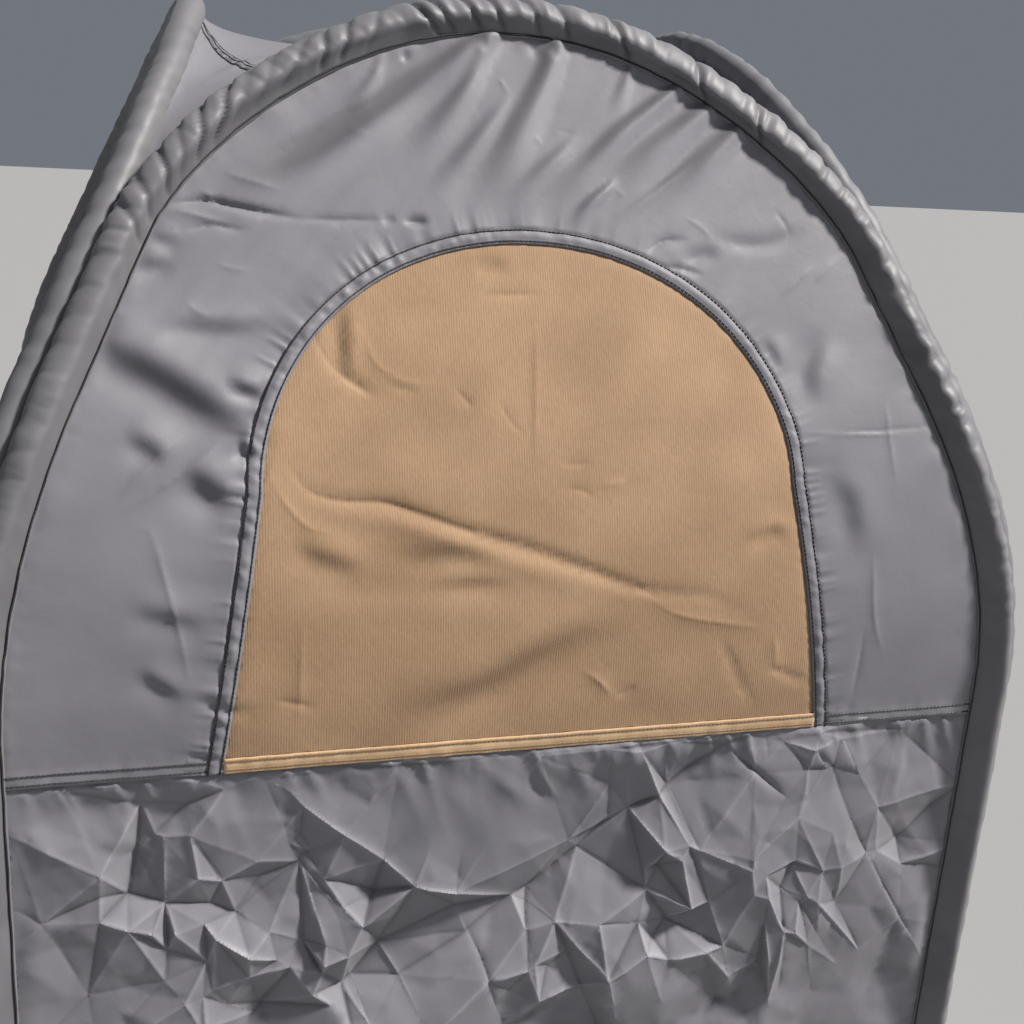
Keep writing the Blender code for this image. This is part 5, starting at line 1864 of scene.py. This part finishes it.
def roof_place(points, proud):
    """Puts (s, t) points of the roof in space, standing proud of it by an amount."""
    step = 0.002
    limit = ROOF_SCALE * 0.9999

    def slope(move):
        return (roof_surface(np.clip(points + move, -limit, limit))
                - roof_surface(np.clip(points - move, -limit, limit)))

    above = unit(np.cross(slope((step, 0)), slope((0, step))))
    return roof_surface(points) + np.broadcast_to(proud, len(points))[:, None] * above


def roof_relief(seed):
    folds = soft_folds(16, np.array((-0.3, -0.3)), np.array((0.3, 0.3)), seed, (-1.5, 1.5))

    def relief(points):
        s, t = np.abs(points[:, 0]) / ROOF_SCALE, np.abs(points[:, 1]) / ROOF_SCALE
        edge = np.minimum(1 - s, 1 - t) * ROOF_SCALE
        total = 0.0030 * bumps(points[:, 0] / 0.13, points[:, 1] / 0.13, seed) + 0.6 * fold_relief(points, folds)
        total += 0.0012 * np.exp(-edge / 0.03) * bumps((points[:, 0] + points[:, 1]) / 0.02, edge / 0.05, seed + 1)
        seam = np.abs(s + t - GUSSET_SEAM) * ROOF_SCALE / math.sqrt(2)
        run = (points[:, 0] - points[:, 1]) / math.sqrt(2)
        total += 0.0011 * np.exp(-seam / 0.014) * bumps(run / 0.010, seam / 0.03, seed + 2)
        return total * eased(edge / 0.025)
    return relief


def make_roof(seed):
    relief = roof_relief(seed)
    reach, seam, tip = ROOF_SCALE, GUSSET_SEAM * ROOF_SCALE, GUSSET_TIP * ROOF_SCALE
    lap = 0.008

    def corner_points(total):
        return (reach, total - reach), (total - reach, reach)

    first, second = corner_points(seam + lap)
    eight = [first, second, (-second[0], second[1]), (-first[0], first[1]), (-first[0], -first[1]),
             (-second[0], -second[1]), (second[0], -second[1]), (first[0], -first[1])]

    def top(points):
        over = (np.abs(points).sum(1) - seam) / math.sqrt(2)
        return relief(points) + 0.0016 * eased((over + 0.010) / 0.006)

    cloth_piece("roof_cloth", roof_place, spaced(np.array(eight), 0.005, closed=True), top, "roof_top", ROOF_STEP,
                seed=seed)
    rows = []
    for name, (x, y) in CORNERS.items():
        low_a, low_b = corner_points(seam)
        high_a, high_b = corner_points(tip)
        outline = spaced(np.array([low_a, high_a, high_b, low_b]), 0.004, closed=True) * (x, y)
        cloth_piece(f"roof_gusset_cloth_{name}", roof_place, outline, relief, f"roof_gusset_{name}", GUSSET_STEP,
                    seed=seed + 1)
        for offset in (-0.0015, -0.0110):
            ends = np.array(corner_points(seam + (lap - 0.002 + offset) * math.sqrt(2) * 0.7)) * 0.985
            line = spaced(ends * (x, y), 0.004)
            rows.append((roof_place(line, top(line) + 0.0004), False))
    sewn_rows("roof_seam_stitches", rows, thick=SEAM_THREAD)


def make_patches():
    """Webbing squares under the corners, each with a metal eyelet."""
    low, high = PATCH_INNER, PATCH_OUTER
    for name, (x, y) in CORNERS.items():
        outline = spaced(oblong(low, low, high, high), 0.003, closed=True)
        turns = np.linspace(0, 2 * math.pi, 33)
        ring = spaced(EYELET_AT + EYELET_RADIUS * 1.05 * np.stack([np.cos(turns), np.sin(turns)], 1), 0.0012)
        points, faces = triangulated(outline, [ring], [(0.004, hexes((low, low), (high, high), 0.004, 5))])
        middle = points[faces].mean(1)
        faces = faces[np.hypot(*(middle - EYELET_AT).T) > EYELET_RADIUS * 1.02]
        rim = np.minimum(points - low, high - points).min(1)
        top = 0.0019 + 0.0001 * bumps(points[:, 0] / 0.02, points[:, 1] / 0.02, 7) - 0.0003 * np.exp(-rim / 0.0015)
        corners = np.stack([points[:, 0] * x, points[:, 1] * y, top], 1)
        if x * y < 0:
            faces = faces[:, ::-1]
        patch = mesh_piece(f"corner_patch_cloth_{name}", corners, faces, points)
        thicken(patch, WEBBING)
        finished(patch, "black_webbing", "black_webbing", f"corner_patch_{name}")
        bpy.ops.mesh.primitive_torus_add(major_radius=EYELET_RADIUS + 0.0018, minor_radius=0.0016,
                                         major_segments=40, minor_segments=12)
        eyelet = bpy.context.object
        eyelet.name = eyelet.data.name = f"corner_eyelet_{name}"
        flatten = Matrix.Diagonal((1.0, 1.0, 0.55, 1.0))
        eyelet.data.transform(Matrix.Translation((x * EYELET_AT, y * EYELET_AT, 0.0012)) @ flatten)
        eyelet.data.shade_smooth()
        finished(eyelet, "zip_metal", "zip_metal")
        rows = []
        for inset in (0.004, 0.008):
            line = spaced(oblong(low + inset, low + inset, high - inset, high - inset), 0.004, closed=True)
            rows.append((np.stack([line[:, 0] * x, line[:, 1] * y, np.full(len(line), 0.0021)], 1), True))
        sewn_rows(f"corner_patch_stitches_{name}", rows, slot="black_webbing")


plain_face("left", 61)
made_face("back", soft_folds(26, PANEL_LOW, PANEL_HIGH, 71) + soft_folds(
    12, np.array((-0.25, WAIST_S + 0.05)), np.array((0.25, WAIST_S + 0.45)), 72), 73, random_nets(74),
    BACK_MESH, lambda share: 0.55)
door_face(81)
make_roof(91)
make_patches()
make_sleeve("back", lambda at: 0.75, 51)
make_sleeve("right", lambda at: 0.75, 56)

for node, finish_name in [(f"hoop_{side}", "spring_steel") for side in FACES] + [
        ("door_zip_slider_outer", "zip_metal"), ("door_zip_slider_spare", "zip_metal")]:
    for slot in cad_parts[node].material_slots:
        slot.material = FINISHES[finish_name]


# Floor, light and camera

FLOOR_COLOUR = (0.30, 0.30, 0.30, 1)
SKY_COLOUR = (0.76, 0.82, 0.94, 1)
SKY_STRENGTH = 0.22
# Each lamp's name, strength, width in degrees, colour and the side that it comes from
LAMPS = (("key", 5.9, 7.0, (1.0, 0.97, 0.93), LIGHT_FROM), ("soft", 0.12, 40.0, (0.86, 0.92, 1.0), SOFT_FROM))


def studio():
    bpy.ops.mesh.primitive_plane_add(size=60.0, location=(0.0, 0.0, -0.001))
    floor = bpy.context.object
    floor.name = "floor"
    pale = bpy.data.materials.new("pale_floor")
    pale.use_nodes = True
    shader = pale.node_tree.nodes["Principled BSDF"]
    shader.inputs["Base Color"].default_value = FLOOR_COLOUR
    shader.inputs["Roughness"].default_value = 0.9
    floor.data.materials.append(pale)
    world = bpy.data.worlds.new("soft_room")
    world.use_nodes = True
    sky = world.node_tree.nodes["Background"]
    sky.inputs["Color"].default_value = SKY_COLOUR
    sky.inputs["Strength"].default_value = SKY_STRENGTH
    bpy.context.scene.world = world
    bpy.context.scene.view_settings.view_transform = "Standard"
    for name, energy, wide, colour, comes_from in LAMPS:
        lamp = bpy.data.lights.new(name, "SUN")
        lamp.energy = energy
        lamp.angle = math.radians(wide)
        lamp.color = colour
        lit = bpy.data.objects.new(name, lamp)
        lit.rotation_euler = comes_from.to_track_quat("Z", "Y").to_euler()
        SCENE.objects.link(lit)


def set_camera():
    right, up, forward = aim()
    lens = bpy.data.cameras.new("photo_view")
    lens.sensor_width = SENSOR
    lens.lens = FOCAL_PIXELS / PHOTO_SIZE * SENSOR
    camera = bpy.data.objects.new("photo_view", lens)
    axes = Matrix((right, up, -forward)).transposed()
    camera.matrix_world = Matrix.Translation(Vector(CAMERA_AT)) @ axes.to_4x4()
    SCENE.objects.link(camera)
    bpy.context.scene.camera = camera


studio()
set_camera()
